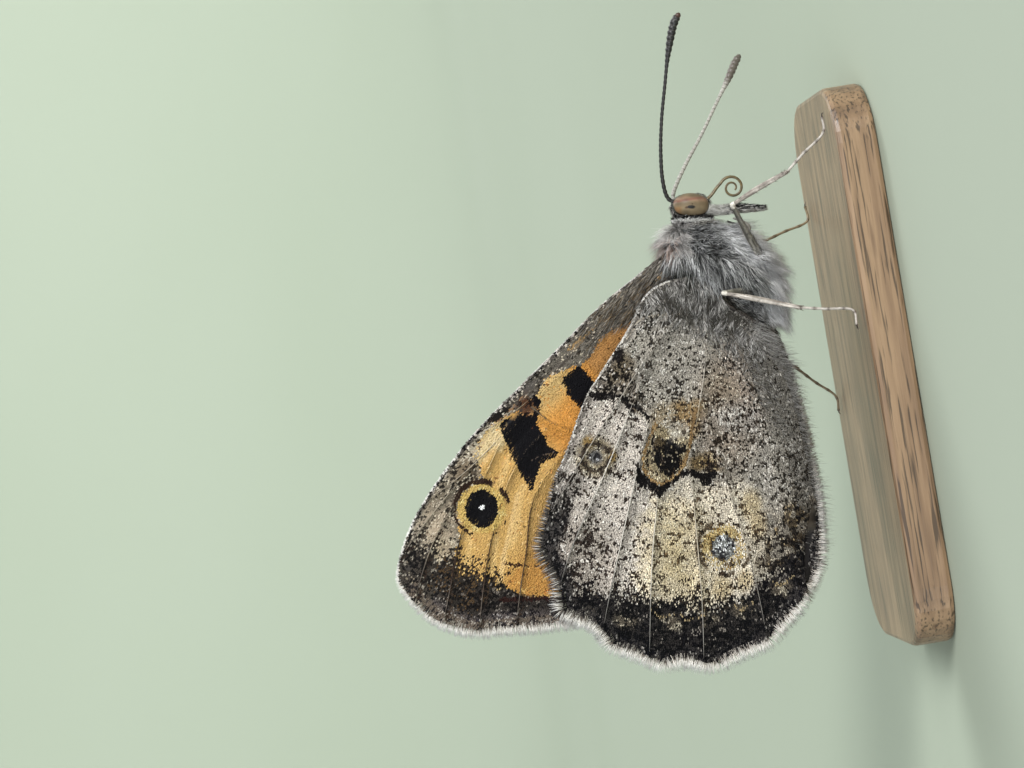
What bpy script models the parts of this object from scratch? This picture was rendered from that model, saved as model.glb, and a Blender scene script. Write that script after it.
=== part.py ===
"""A marbled xenica butterfly, life size, at rest with its wings closed, on a plain display base.

The insect faces +X, its back is up and its right side is on -Y. Lengths are in millimetres. Heights
are counted from the plane that its feet stand on, and place() turns them into metres in the
object's own frame, whose origin is the centre of the base's underside.
"""

import math

import bmesh
import bpy
import numpy as np
from mathutils import Matrix, Vector
from mathutils.geometry import delaunay_2d_cdt

MM = 0.001
GAP = 0.3
MERGE = 1e-7
SHARP_ANGLE = math.radians(40.0)

# The display base.
BASE_LENGTH = 28.0
BASE_WIDTH = 13.0
BASE_THICK = 2.0
BASE_CORNER = 3.0
BASE_CORNER_STEPS = 8
BASE_EDGE = 0.25
BASE_EDGE_STEPS = 2
BASE_EDGE_ANGLE = math.radians(60.0)
FEET_LEVEL = BASE_THICK + GAP

# Upright sections of the body: place along X, centre height, half width, half height.
BODY_SECTIONS = (
    (-4.60, 4.00, 0.25, 0.25),
    (-4.00, 4.00, 0.85, 0.85),
    (-2.50, 4.05, 1.20, 1.20),
    (-0.50, 4.15, 1.35, 1.35),
    (1.50, 4.25, 1.35, 1.40),
    (2.80, 4.35, 1.15, 1.30),
    (3.40, 4.50, 1.25, 1.50),
    (4.40, 4.90, 1.60, 2.10),
    (5.60, 5.30, 1.80, 2.50),
    (6.80, 5.85, 1.75, 2.35),
    (7.70, 6.20, 1.40, 1.95),
    (8.30, 6.35, 0.90, 1.25),
    (8.65, 6.40, 0.48, 0.72),
    (9.00, 6.45, 0.50, 0.95),
    (9.60, 6.50, 0.50, 1.05),
    (10.10, 6.50, 0.42, 0.80),
    (10.35, 6.50, 0.20, 0.40),
)
WAIST_X = 3.05
NECK_X = 8.65
BODY_SIDES = 20
BODY_STEP = 0.6

# The eyes are domes that stand on the flat sides of the head.
EYE_X = 9.54
EYE_Z = 6.51
EYE_HALF_LENGTH = 0.60
EYE_HALF_HEIGHT = 0.93
EYE_SEAT = 0.50 + GAP
EYE_BULGE = 0.48
EYE_SEGMENTS = 18
EYE_RINGS = 12
HEAD_TILT = math.radians(9.5)

# Middle lines of the head's feelers and mouthparts: X, distance from the middle plane, height.
ANTENNA_R = (
    (9.70, 0.34, 7.00), (10.05, 0.38, 7.58), (11.00, 0.85, 7.76), (12.41, 1.45, 7.68),
    (13.94, 2.05, 7.44), (15.45, 2.60, 7.09), (16.96, 3.05, 6.72), (18.29, 3.38, 6.27),
    (18.85, 3.50, 5.87),
)
ANTENNA_L = (
    (9.75, 0.34, 7.00), (10.25, 0.40, 7.20), (11.56, 1.10, 6.33), (13.15, 2.00, 5.05),
    (14.75, 2.90, 3.86), (15.90, 3.50, 3.00), (16.70, 3.90, 2.45), (17.10, 4.05, 2.10),
)
ANTENNA_RADIUS = 0.25
CLUB_RADIUS = 0.32
ANTENNA_TIP = 0.14
CLUB_SHARE = 0.17
ANTENNA_STEP = 0.75
PALP = (
    (9.20, 0.40, 6.00), (9.08, 0.40, 5.20), (9.00, 0.40, 4.20), (8.88, 0.40, 3.35), (8.82, 0.40, 2.90),
)
PALP_RADIUS = 0.25
PALP_TIP = 0.12
PALP_TAPER_FROM = 0.6
PALP_STEP = 0.4
PROBOSCIS_ROOT = ((9.62, 0.0, 5.95), (9.80, 0.0, 5.45), (10.20, 0.0, 5.02))
PROBOSCIS_CENTRE = (10.08, 4.22)
PROBOSCIS_TURN = math.radians(255.0)
PROBOSCIS_OUTER = 0.64
PROBOSCIS_INNER = 0.48
PROBOSCIS_RADIUS = 0.19
PROBOSCIS_TIP = 0.12
PROBOSCIS_START = math.radians(60.0)
PROBOSCIS_STEPS = 16
PROBOSCIS_STEP = 0.3

# Legs: hip, knee, ankle, heel and toe on each middle line, as X, distance from the middle plane and
# height above the feet plane.
LEGS = {
    "midleg_R": (
        (6.05, 0.75, 3.35), (9.07, 3.00, 4.80), (10.18, 4.20, 2.00), (11.75, 4.55, 0.24), (12.55, 4.70, 0.20),
    ),
    "midleg_L": (
        (6.60, 0.70, 3.70), (8.40, 3.00, 5.50), (7.26, 4.20, 2.50), (7.95, 4.55, 0.24), (8.75, 4.70, 0.20),
    ),
    "hindleg_R": (
        (4.70, 0.70, 3.50), (4.82, 3.35, 6.00), (3.47, 4.20, 2.45), (2.95, 4.55, 0.24), (2.15, 4.75, 0.20),
    ),
    "hindleg_L": (
        (4.60, 0.70, 3.50), (2.60, 3.60, 4.90), (0.44, 4.40, 1.80), (-1.30, 4.75, 0.24), (-2.10, 4.85, 0.20),
    ),
}
FORELEG = ((7.20, 0.60, 4.90), (7.75, 0.95, 3.95), (8.15, 1.12, 4.05), (8.50, 1.22, 4.60))
FEMUR_RADIUS = 0.30
FEMUR_SWELL_AT = 0.55
FEMUR_HIP_SHARE = 0.90
FEMUR_KNEE_SHARE = 0.75
TIBIA_RADIUS = 0.25
TIBIA_KNEE_SHARE = 0.90
TARSUS_RADIUS = 0.24
TARSUS_TOE_SHARE = 0.90
TARSUS_STEP = 0.5
FORELEG_RADIUS = 0.26
FORELEG_TIP = 0.13
FORELEG_TAPER_FROM = 0.55
FORELEG_STEP = 0.35
# A segment is drawn this much longer than its joint, so that the joint's plane cuts a full end.
JOINT_REACH = 1.2

# Wings: the membrane's thickness, the height of a vein's ridge on each face, and the ridge's half
# width at the root and at the margin.
MEMBRANE = 0.46
RIDGE = 0.07
RIDGE_HALF_WIDTH = 0.26
RIDGE_END_WIDTH = 0.15
# Spacing of the points along veins, along the outline and between them, and how near they may lie.
VEIN_STEP = 1.7
MARGIN_STEP = 0.9
FILL_STEP = 2.1
FILL_CLEAR = 0.75
FOOT_CLEAR = 0.24
MARGIN_CLEAR = 0.40
SNAP = 0.15

# Each wing in its own plane: distance from the hinge towards the tip, then towards the rear corner.
FOREWING = {
    "hinge": (6.86, 7.98),
    "along": (-0.630, 0.776),
    "across": (-0.776, -0.630),
    "outline": (
        (-0.60, -0.35), (0.60, -0.62), (1.38, -0.80), (3.96, -1.22), (6.80, -1.39), (9.67, -1.58),
        (12.20, -1.73), (14.50, -1.70), (17.10, -1.43), (19.20, -0.92), (21.07, 0.00), (21.66, 0.92),
        (21.90, 2.48), (21.70, 3.74), (21.00, 5.19), (19.90, 6.26), (18.60, 7.56), (16.60, 9.25),
        (14.50, 10.45), (10.50, 8.00), (5.50, 4.40), (1.50, 1.60), (-0.40, 0.75),
    ),
    "veins": {
        "subcosta": ((1.20, -0.45), (5.00, -0.92), (10.50, -1.62)),
        "radius": ((1.00, 0.02), (5.00, -0.32), (10.20, -0.55)),
        "radius_1": ((8.20, -0.50), (11.20, -1.00), (13.80, -1.80)),
        "radius_3": ((10.20, -0.55), (14.50, -0.75), (17.80, -1.40)),
        "radius_4": ((14.50, -0.75), (18.15, -0.60), (20.40, -0.35)),
        "radius_5": ((14.50, -0.75), (16.20, -0.20), (18.70, 0.40), (21.90, 1.80)),
        "media_1": (
            (10.20, -0.55), (12.50, -0.40), (14.50, 0.15), (17.00, 0.98), (19.60, 2.45), (21.90, 3.80),
        ),
        "media_2": ((10.10, 0.80), (13.20, 1.00), (16.00, 2.20), (18.50, 3.70), (21.00, 5.50)),
        "media_3": ((9.60, 2.20), (13.30, 2.60), (15.90, 4.25), (17.40, 5.20), (20.00, 7.00)),
        "cubitus_1": ((8.20, 3.00), (12.00, 4.95), (15.50, 7.20), (18.20, 8.60)),
        "cubitus_2": ((5.50, 2.10), (10.00, 5.50), (16.40, 9.90)),
        "cubitus": ((1.00, 0.50), (3.00, 1.20), (5.50, 2.10), (8.20, 3.00), (9.60, 2.20)),
        "cell_end": ((10.20, -0.55), (10.10, 0.80), (9.60, 2.20)),
        "anal": ((1.30, 0.95), (4.00, 2.60), (9.00, 6.10), (14.70, 10.10)),
    },
    "level": 0.42,
    "root_level": 0.92,
    "root_reach": 2.2,
    "root_rise": 0.0,
}
HINDWING = {
    "hinge": (5.47, 6.68),
    "along": (-0.957, 0.289),
    "across": (-0.289, -0.957),
    "outline": (
        (-0.25, -0.60), (0.16, -2.02), (1.04, -2.92), (2.69, -3.48), (4.85, -4.47), (6.47, -5.18),
        (9.04, -5.77), (10.50, -6.24), (11.80, -6.54), (13.60, -6.92), (14.40, -6.96), (15.15, -6.57),
        (15.90, -6.00), (17.50, -5.56), (17.90, -4.84), (18.30, -3.36), (19.10, -2.64), (19.40, -1.34),
        (19.70, -0.22), (19.90, 0.61), (19.50, 1.48), (19.60, 2.72), (19.40, 3.50), (18.85, 4.35),
        (17.90, 5.95), (17.00, 6.60), (15.60, 7.50), (14.20, 8.10), (12.90, 8.27), (10.95, 7.92),
        (8.74, 7.33), (6.30, 6.40), (4.39, 5.50), (2.72, 4.58), (1.50, 2.99), (0.84, 1.38), (0.10, 0.35),
    ),
    "veins": {
        "subcosta": ((0.70, -1.30), (1.40, -2.20), (2.80, -2.95), (5.50, -4.15), (9.80, -5.60)),
        "radius": ((0.70, -0.60), (1.60, -1.00), (3.40, -2.05), (6.30, -3.45), (9.10, -4.75), (13.40, -6.60)),
        "sector": ((3.40, -2.05), (7.20, -2.95), (10.20, -3.75), (13.90, -4.85), (17.40, -5.45)),
        "media_1": ((7.30, -1.80), (9.70, -2.10), (16.30, -2.70), (18.90, -2.80)),
        "media_2": ((8.60, -0.90), (10.90, -0.90), (14.40, -0.76), (19.90, -0.20)),
        "cubitus_1": ((7.94, 0.35), (11.00, 0.95), (15.70, 1.95), (19.80, 2.60)),
        "cubitus_2": ((5.60, 0.60), (10.00, 2.60), (14.40, 4.50), (18.30, 5.80)),
        "cubitus": ((0.80, 0.10), (3.06, 0.55), (5.60, 0.60), (7.94, 0.35), (8.60, -0.90)),
        "cell_end": ((6.60, -2.80), (7.30, -1.80), (8.60, -0.90)),
        "anal_2": ((1.10, 0.75), (2.50, 1.90), (5.00, 3.20), (10.50, 5.40), (16.30, 7.30)),
        "anal_3": ((1.70, 2.00), (2.80, 3.20), (4.60, 4.75), (8.50, 6.40), (13.20, 8.30)),
    },
    "level": 1.24,
    "root_level": 1.69,
    "root_reach": 3.0,
    "root_rise": 1.5,
}
# The rear wing bows out around the body by half its own thickness and the gap, and past the
# abdomen's tip the bow dies away over these sections.
WING_CLEARANCE = MEMBRANE / 2 + RIDGE + GAP
SLEEVE_TAIL = ((-10.0, 4.0, 0.05, 0.05), (-7.5, 4.0, 0.80, 0.80), (-5.2, 4.0, 1.40, 1.40))
SLEEVE_FROM = -3.0
LOWER_LEVEL = 0.80
LEVEL_BLEND = 0.35

COLOURS = {
    "base": (0.30, 0.23, 0.17, 0.55),
    "fur": (0.38, 0.35, 0.32, 0.85),
    "abdomen": (0.36, 0.32, 0.28, 0.80),
    "eye": (0.42, 0.29, 0.17, 0.20),
    "antenna_R": (0.06, 0.05, 0.05, 0.60),
    "antenna_L": (0.62, 0.60, 0.56, 0.60),
    "palp": (0.45, 0.43, 0.40, 0.85),
    "proboscis": (0.28, 0.22, 0.12, 0.40),
    "forewing": (0.72, 0.46, 0.20, 0.70),
    "hindwing": (0.50, 0.46, 0.40, 0.75),
    "leg": (0.46, 0.38, 0.28, 0.60),
}


def place(x, y, z):
    """A point in metres from millimetres, with the height counted from the feet plane."""
    return Vector((x, y, z + FEET_LEVEL)) * MM


def catmull_rom(a, b, c, d, t):
    """The point at t on the smooth curve from b to c."""
    return 0.5 * (2 * b + (c - a) * t + (2 * a - 5 * b + 4 * c - d) * t**2 + (3 * b - a - 3 * c + d) * t**3)


def smooth_path(points, step, closed=False):
    """Points about one step apart on a smooth curve through the given ones."""
    knots = [np.array(point, float) for point in points]
    count = len(knots)
    spans = count if closed else count - 1
    path = []
    for index in range(spans):
        if closed:
            a, b, c, d = (knots[(index + shift) % count] for shift in (-1, 0, 1, 2))
        else:
            b, c = knots[index], knots[index + 1]
            a = knots[index - 1] if index else 2 * b - c
            d = knots[index + 2] if index + 2 < count else 2 * c - b
        parts = max(1, round(np.linalg.norm(c - b) / step))
        path += [catmull_rom(a, b, c, d, part / parts) for part in range(parts)]
    if not closed:
        path.append(knots[-1])
    return path


def blend(low, high, share):
    return low + (high - low) * share


def ease(share):
    """0 to 1 with level ends."""
    share = min(1.0, max(0.0, share))
    return share * share * (3 - 2 * share)


def make_collection(name):
    collection = bpy.data.collections.new(name)
    bpy.context.scene.collection.children.link(collection)
    return collection


def make_material(name):
    red, green, blue, roughness = COLOURS[name]
    material = bpy.data.materials.new(name)
    material.use_nodes = True
    shader = material.node_tree.nodes["Principled BSDF"]
    shader.inputs["Base Color"].default_value = (red, green, blue, 1)
    shader.inputs["Roughness"].default_value = roughness
    return material


def add_object(name, shape, collection, colour=None):
    """An object of this name from a bmesh, which it frees."""
    mesh = bpy.data.meshes.new(name)
    shape.to_mesh(mesh)
    shape.free()
    thing = bpy.data.objects.new(name, mesh)
    collection.objects.link(thing)
    if colour:
        mesh.materials.append(make_material(colour))
        mesh.shade_smooth()
        mesh.set_sharp_from_angle(angle=SHARP_ANGLE)
    return thing


def keep_side(shape, point, normal):
    """Cuts the closed shape by a plane, keeps the side that the normal points away from, and closes it."""
    everything = shape.verts[:] + shape.edges[:] + shape.faces[:]
    cut = bmesh.ops.bisect_plane(
        shape, geom=everything, plane_co=point, plane_no=normal, clear_outer=True, dist=MERGE
    )
    rim = [item for item in cut["geom_cut"] if isinstance(item, bmesh.types.BMEdge)]
    bmesh.ops.holes_fill(shape, edges=rim)


def body_loft(grow=0.0):
    """The whole body as one closed skin over its sections, larger all round by grow."""
    rows = smooth_path(BODY_SECTIONS, BODY_STEP)
    shape = bmesh.new()
    rings = []
    for index, (x, centre, half_width, half_height) in enumerate(rows):
        if index == 0:
            x -= grow
        if index == len(rows) - 1:
            x += grow
        ring = []
        for side in range(BODY_SIDES):
            angle = math.tau * side / BODY_SIDES
            y = (half_width + grow) * math.cos(angle)
            z = centre + (half_height + grow) * math.sin(angle)
            ring.append(shape.verts.new(place(x, y, z)))
        rings.append(ring)
    for low, high in zip(rings, rings[1:]):
        for side in range(BODY_SIDES):
            shape.faces.new((low[side - 1], low[side], high[side], high[side - 1]))
    shape.faces.new(rings[0])
    shape.faces.new(rings[-1])
    bmesh.ops.recalc_face_normals(shape, faces=shape.faces)
    return shape


def body_piece(name, x_low, x_high, colour, collection):
    """The stretch of the body between two upright planes."""
    shape = body_loft()
    if x_high is not None:
        keep_side(shape, place(x_high, 0, 0), (1, 0, 0))
    if x_low is not None:
        keep_side(shape, place(x_low, 0, 0), (-1, 0, 0))
    bmesh.ops.recalc_face_normals(shape, faces=shape.faces)
    return add_object(name, shape, collection, colour)


def tube(points, radii, resolution=2):
    """A closed tube along the points, in millimetres, made with a bevelled curve."""
    curve = bpy.data.curves.new("tube", "CURVE")
    curve.dimensions = "3D"
    curve.bevel_depth = MM
    curve.bevel_resolution = resolution
    curve.use_fill_caps = True
    spline = curve.splines.new("POLY")
    spline.points.add(len(points) - 1)
    for knot, point, radius in zip(spline.points, points, radii):
        knot.co = (*place(*point), 1)
        knot.radius = radius
    thing = bpy.data.objects.new("tube", curve)
    bpy.context.scene.collection.objects.link(thing)
    graph = bpy.context.evaluated_depsgraph_get()
    mesh = bpy.data.meshes.new_from_object(thing.evaluated_get(graph))
    shape = bmesh.new()
    shape.from_mesh(mesh)
    bmesh.ops.remove_doubles(shape, verts=shape.verts, dist=MERGE)
    bmesh.ops.recalc_face_normals(shape, faces=shape.faces)
    bpy.data.objects.remove(thing)
    bpy.data.curves.remove(curve)
    bpy.data.meshes.remove(mesh)
    return shape


def cut_by(thing, cutter):
    """Takes the cutter's space out of the object."""
    modifier = thing.modifiers.new("clearance of " + cutter.name, "BOOLEAN")
    modifier.operation = "DIFFERENCE"
    modifier.solver = "EXACT"
    modifier.object = cutter


def mirrored(points, side):
    """The points with their distance from the middle plane put on one side."""
    return [(x, side * y, z) for x, y, z in points]


def tapered(count, radius, tip, start):
    """Radii along a limb that stay even up to the share called start and then ease down to the tip's."""
    shares = [index / (count - 1) for index in range(count)]
    return [blend(radius, tip, ease((share - start) / (1 - start))) for share in shares]


def make_base(collection):
    """A flat plate with round corners and a softened edge."""
    shape = bmesh.new()
    size = Matrix.Diagonal((BASE_LENGTH * MM, BASE_WIDTH * MM, BASE_THICK * MM, 1))
    lift = Matrix.Translation((0, 0, BASE_THICK * MM / 2))
    bmesh.ops.create_cube(shape, size=1, matrix=lift @ size)
    upright = [edge for edge in shape.edges if abs(edge.verts[0].co.z - edge.verts[1].co.z) > MM / 2]
    bmesh.ops.bevel(
        shape, geom=upright, offset=BASE_CORNER * MM, segments=BASE_CORNER_STEPS, profile=0.5, affect="EDGES"
    )
    base = add_object("stand_base", shape, collection, "base")
    edge = base.modifiers.new("soft edge", "BEVEL")
    edge.width = BASE_EDGE * MM
    edge.segments = BASE_EDGE_STEPS
    edge.limit_method = "ANGLE"
    edge.angle_limit = BASE_EDGE_ANGLE


def make_eye(name, side, collection):
    """Half an ellipsoid whose flat face looks at the side of the head."""
    shape = bmesh.new()
    bmesh.ops.create_uvsphere(shape, u_segments=EYE_SEGMENTS, v_segments=EYE_RINGS, radius=1)
    size = Matrix.Diagonal((EYE_HALF_LENGTH * MM, EYE_BULGE * MM, EYE_HALF_HEIGHT * MM, 1))
    turn = Matrix.Rotation(HEAD_TILT, 4, "Y")
    shift = Matrix.Translation(place(EYE_X, side * EYE_SEAT, EYE_Z))
    bmesh.ops.transform(shape, matrix=shift @ turn @ size, verts=shape.verts)
    keep_side(shape, place(EYE_X, side * EYE_SEAT, EYE_Z), (0, -side, 0))
    bmesh.ops.recalc_face_normals(shape, faces=shape.faces)
    return add_object(name, shape, collection, "eye")


def make_antenna(name, points, side, colour, collection):
    """A thin shaft that swells into a club near its end and bends back at the tip."""
    path = smooth_path(mirrored(points, side), ANTENNA_STEP)
    radii = []
    for index in range(len(path)):
        left = 1 - index / (len(path) - 1)
        if left > CLUB_SHARE:
            radii.append(blend(CLUB_RADIUS, ANTENNA_RADIUS, ease((left - CLUB_SHARE) / CLUB_SHARE)))
        else:
            radii.append(blend(ANTENNA_TIP, CLUB_RADIUS, ease(left / CLUB_SHARE)))
    return add_object(name, tube(path, radii), collection, colour)


def make_palp(name, side, collection):
    """A feeler of the mouth that hangs down from the face and thins towards its tip."""
    path = smooth_path(mirrored(PALP, side), PALP_STEP)
    radii = tapered(len(path), PALP_RADIUS, PALP_TIP, PALP_TAPER_FROM)
    return add_object(name, tube(path, radii), collection, "palp")


def make_proboscis(name, collection):
    """The tongue runs down from the face and rolls forward into one open turn."""
    centre_x, centre_z = PROBOSCIS_CENTRE
    coil = []
    for index in range(PROBOSCIS_STEPS + 1):
        share = index / PROBOSCIS_STEPS
        angle = PROBOSCIS_START - share * PROBOSCIS_TURN
        reach = blend(PROBOSCIS_OUTER, PROBOSCIS_INNER, share)
        coil.append((centre_x + reach * math.cos(angle), 0.0, centre_z + reach * math.sin(angle)))
    path = smooth_path(PROBOSCIS_ROOT + tuple(coil[:1]), PROBOSCIS_STEP) + coil[1:]
    radii = list(np.linspace(PROBOSCIS_RADIUS, PROBOSCIS_TIP, len(path)))
    return add_object(name, tube(path, radii), collection, "proboscis")


def joint_plane(before, joint, after):
    """The direction across which two limb segments meet, halfway between their own directions."""
    arrive = (Vector(joint) - Vector(before)).normalized()
    leave = (Vector(after) - Vector(joint)).normalized()
    return (arrive + leave).normalized()


def limb_segment(points, radii, first_plane=None, last_plane=None):
    """A tube whose ends are cut on the joint planes, half the gap short of each joint."""
    points = [Vector(point) for point in points]
    run = list(points)
    if first_plane:
        run.insert(0, points[0] - (points[1] - points[0]).normalized() * JOINT_REACH)
        radii = [radii[0]] + list(radii)
    if last_plane:
        run.append(points[-1] + (points[-1] - points[-2]).normalized() * JOINT_REACH)
        radii = list(radii) + [radii[-1]]
    shape = tube(run, radii)
    if first_plane:
        keep_side(shape, place(*(points[0] + first_plane * GAP / 2)), -first_plane)
    if last_plane:
        keep_side(shape, place(*(points[-1] - last_plane * GAP / 2)), last_plane)
    return shape


def make_leg(name, points, side, collection):
    """Thigh, shin and foot, each its own piece. The foot ends on a small flat at the feet plane."""
    hip, knee, ankle, heel, toe = mirrored(points, side)
    knee_plane = joint_plane(hip, knee, ankle)
    ankle_plane = joint_plane(knee, ankle, heel)
    swell = tuple(blend(Vector(hip), Vector(knee), FEMUR_SWELL_AT))
    femur_radii = (FEMUR_RADIUS * FEMUR_HIP_SHARE, FEMUR_RADIUS, FEMUR_RADIUS * FEMUR_KNEE_SHARE)
    femur = limb_segment((hip, swell, knee), femur_radii, last_plane=knee_plane)
    tibia_radii = (TIBIA_RADIUS * TIBIA_KNEE_SHARE, TIBIA_RADIUS)
    tibia = limb_segment((knee, ankle), tibia_radii, knee_plane, ankle_plane)
    foot_path = smooth_path((ankle, heel, toe), TARSUS_STEP)
    foot_radii = np.linspace(TARSUS_RADIUS, TARSUS_RADIUS * TARSUS_TOE_SHARE, len(foot_path))
    tarsus = limb_segment(foot_path, foot_radii, first_plane=ankle_plane)
    keep_side(tarsus, place(0, 0, 0), (0, 0, -1))
    leg, letter = name.split("_")
    pieces = []
    for part, shape in (("femur", femur), ("tibia", tibia), ("tarsus", tarsus)):
        bmesh.ops.recalc_face_normals(shape, faces=shape.faces)
        pieces.append(add_object(f"{leg}_{part}_{letter}", shape, collection, "leg"))
    return pieces


def make_foreleg(name, side, collection):
    """The small front leg is folded under the chest and ends in a brush."""
    path = smooth_path(mirrored(FORELEG, side), FORELEG_STEP)
    radii = tapered(len(path), FORELEG_RADIUS, FORELEG_TIP, FORELEG_TAPER_FROM)
    return add_object(name, tube(path, radii), collection, "leg")


def inside(point, outline):
    """Whether the point lies inside the closed outline."""
    x, y = point
    found = False
    for (ax, ay), (bx, by) in zip(outline, outline[1:] + outline[:1]):
        if (ay > y) != (by > y) and x < (bx - ax) * (y - ay) / (by - ay) + ax:
            found = not found
    return found


def distance_to_path(point, path):
    """The least distance from the point to the path, and the share of the path's length at that place."""
    best = (math.inf, 0.0)
    for index, (a, b) in enumerate(zip(path, path[1:])):
        run = b - a
        share = float(np.clip(np.dot(point - a, run) / np.dot(run, run), 0, 1))
        gap = float(np.linalg.norm(a + run * share - point))
        best = min(best, (gap, (index + share) / (len(path) - 1)))
    return best


def ridge_half_width(share):
    return blend(RIDGE_HALF_WIDTH, RIDGE_END_WIDTH, share)


def spot_index(points, spot):
    """The index of the point at this spot, shared with any point already within the snapping distance."""
    for index, point in enumerate(points):
        if np.linalg.norm(point - spot) < SNAP:
            return index
    points.append(spot)
    return len(points) - 1


def vein_path(knots, outline):
    """A vein's middle line, which ends on the outline's nearest point where it reaches the margin."""
    path = smooth_path(knots, VEIN_STEP)
    loop = outline + outline[:1]

    def is_clear(point):
        return inside(point, outline) and distance_to_path(point, loop)[0] > MARGIN_CLEAR

    clear = [point for point in path if is_clear(point)]
    if not is_clear(path[-1]):
        clear.append(min(outline, key=lambda point: np.linalg.norm(point - path[-1])))
    return clear


def ridge_foot(path, side):
    """The points along one foot of a vein's ridge."""
    foot = []
    for index, point in enumerate(path):
        run = path[min(index + 1, len(path) - 1)] - path[max(index - 1, 0)]
        normal = np.array((-run[1], run[0])) / np.linalg.norm(run)
        foot.append(point + normal * side * ridge_half_width(index / (len(path) - 1)))
    return foot


def wing_sheet(wing):
    """Triangles of a flat wing along its outline and veins, and each point's share of the ridge height."""
    outline = smooth_path(wing["outline"], MARGIN_STEP, closed=True)
    loop = outline + outline[:1]
    veins = [vein_path(knots, outline) for knots in wing["veins"].values()]
    points = list(outline)
    edges = [(index, (index + 1) % len(outline)) for index in range(len(outline))]
    for vein in veins:
        chain = [spot_index(points, spot) for spot in vein]
        edges += [pair for pair in zip(chain, chain[1:]) if pair[0] != pair[1]]
    for own, vein in enumerate(veins):
        others = veins[:own] + veins[own + 1 :]
        for side in (-1, 1):
            before = None
            for spot in ridge_foot(vein, side):
                crowded = min(distance_to_path(spot, other)[0] for other in others) < FOOT_CLEAR
                if crowded or not inside(spot, outline) or distance_to_path(spot, loop)[0] < MARGIN_CLEAR / 2:
                    before = None
                    continue
                index = spot_index(points, spot)
                if before is not None and before != index:
                    edges.append((before, index))
                before = index
    low = np.min(outline, axis=0)
    high = np.max(outline, axis=0)
    row_step = FILL_STEP * math.sqrt(3) / 2
    for row in range(int((high[1] - low[1]) / row_step) + 1):
        for column in range(int((high[0] - low[0]) / FILL_STEP) + 1):
            spot = low + np.array(((column + row % 2 / 2) * FILL_STEP, row * row_step))
            near_margin = distance_to_path(spot, loop)[0] < FILL_CLEAR
            near_vein = min(distance_to_path(spot, vein)[0] for vein in veins) < FILL_CLEAR
            if inside(spot, outline) and not near_margin and not near_vein:
                points.append(spot)
    flat, _, faces, *_ = delaunay_2d_cdt([Vector(point) for point in points], edges, [], 0, 1e-4)
    kept = []
    for face in faces:
        middle = sum((flat[index] for index in face), Vector((0, 0))) / 3
        if inside(middle, outline):
            kept.append(face)
    raised = []
    for point in flat:
        share = 0.0
        for vein in veins:
            gap, place_share = distance_to_path(np.array(point), vein)
            share = max(share, 1 - gap / ridge_half_width(place_share))
        raised.append(share)
    return flat, kept, raised


def sleeve_at(x):
    """Centre height, half width and half height of the room that the rear wings leave around the body."""
    rows = list(SLEEVE_TAIL)
    for place_x, centre, half_width, half_height in smooth_path(BODY_SECTIONS, BODY_STEP):
        if place_x > SLEEVE_FROM:
            rows.append((place_x, centre, half_width + WING_CLEARANCE, half_height + WING_CLEARANCE))
    rows = np.array(rows)
    return [float(np.interp(x, rows[:, 0], rows[:, column])) for column in (1, 2, 3)]


def forewing_level(x, z):
    """The front wing's distance from the middle plane: near it, and wider at the hinge."""
    hinge_x, hinge_z = FOREWING["hinge"]
    away = math.hypot(x - hinge_x, z - hinge_z - FOREWING["root_rise"]) / FOREWING["root_reach"]
    return FOREWING["level"] + (FOREWING["root_level"] - FOREWING["level"]) * math.exp(-(away**2))


def hindwing_level(x, z):
    """The rear wing's distance from the middle plane: over the front wing, and bowed around the body."""
    hinge_x, hinge_z = HINDWING["hinge"]
    away = math.hypot(x - hinge_x, z - hinge_z - HINDWING["root_rise"]) / HINDWING["root_reach"]
    centre, half_width, half_height = sleeve_at(x)
    below = ease((centre - z) / half_height) if z < centre else 0.0
    level = blend(HINDWING["level"], LOWER_LEVEL, below)
    level += (HINDWING["root_level"] - HINDWING["level"]) * math.exp(-(away**2))
    bow = half_width * math.sqrt(max(0.0, 1 - ((z - centre) / half_height) ** 2))
    return 0.5 * (level + bow + math.hypot(level - bow, LEVEL_BLEND))


def make_wing(name, wing, level, sheet, side, collection):
    """The sheet bent to its level and given its thickness, with the veins raised on both faces."""
    flat, faces, raised = sheet
    hinge = np.array(wing["hinge"])
    along = np.array(wing["along"])
    across = np.array(wing["across"])
    shape = bmesh.new()
    layer = shape.verts.layers.deform.new()
    corners = []
    for point, share in zip(flat, raised):
        x, z = hinge + along * point[0] + across * point[1]
        corner = shape.verts.new(place(x, side * level(x, z), z))
        corner[layer][0] = share
        corners.append(corner)
    for face in faces:
        shape.faces.new([corners[index] for index in face])
    loose = [corner for corner in corners if not corner.link_faces]
    bmesh.ops.delete(shape, geom=loose, context="VERTS")
    bmesh.ops.recalc_face_normals(shape, faces=shape.faces)
    thing = add_object(name, shape, collection, name.split("_")[0])
    thing.vertex_groups.new(name="vein")
    thickness = thing.modifiers.new("thickness", "SOLIDIFY")
    thickness.thickness = (MEMBRANE + 2 * RIDGE) * MM
    thickness.offset = 0
    thickness.vertex_group = "vein"
    thickness.thickness_vertex_group = MEMBRANE / (MEMBRANE + 2 * RIDGE)
    return thing


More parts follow.
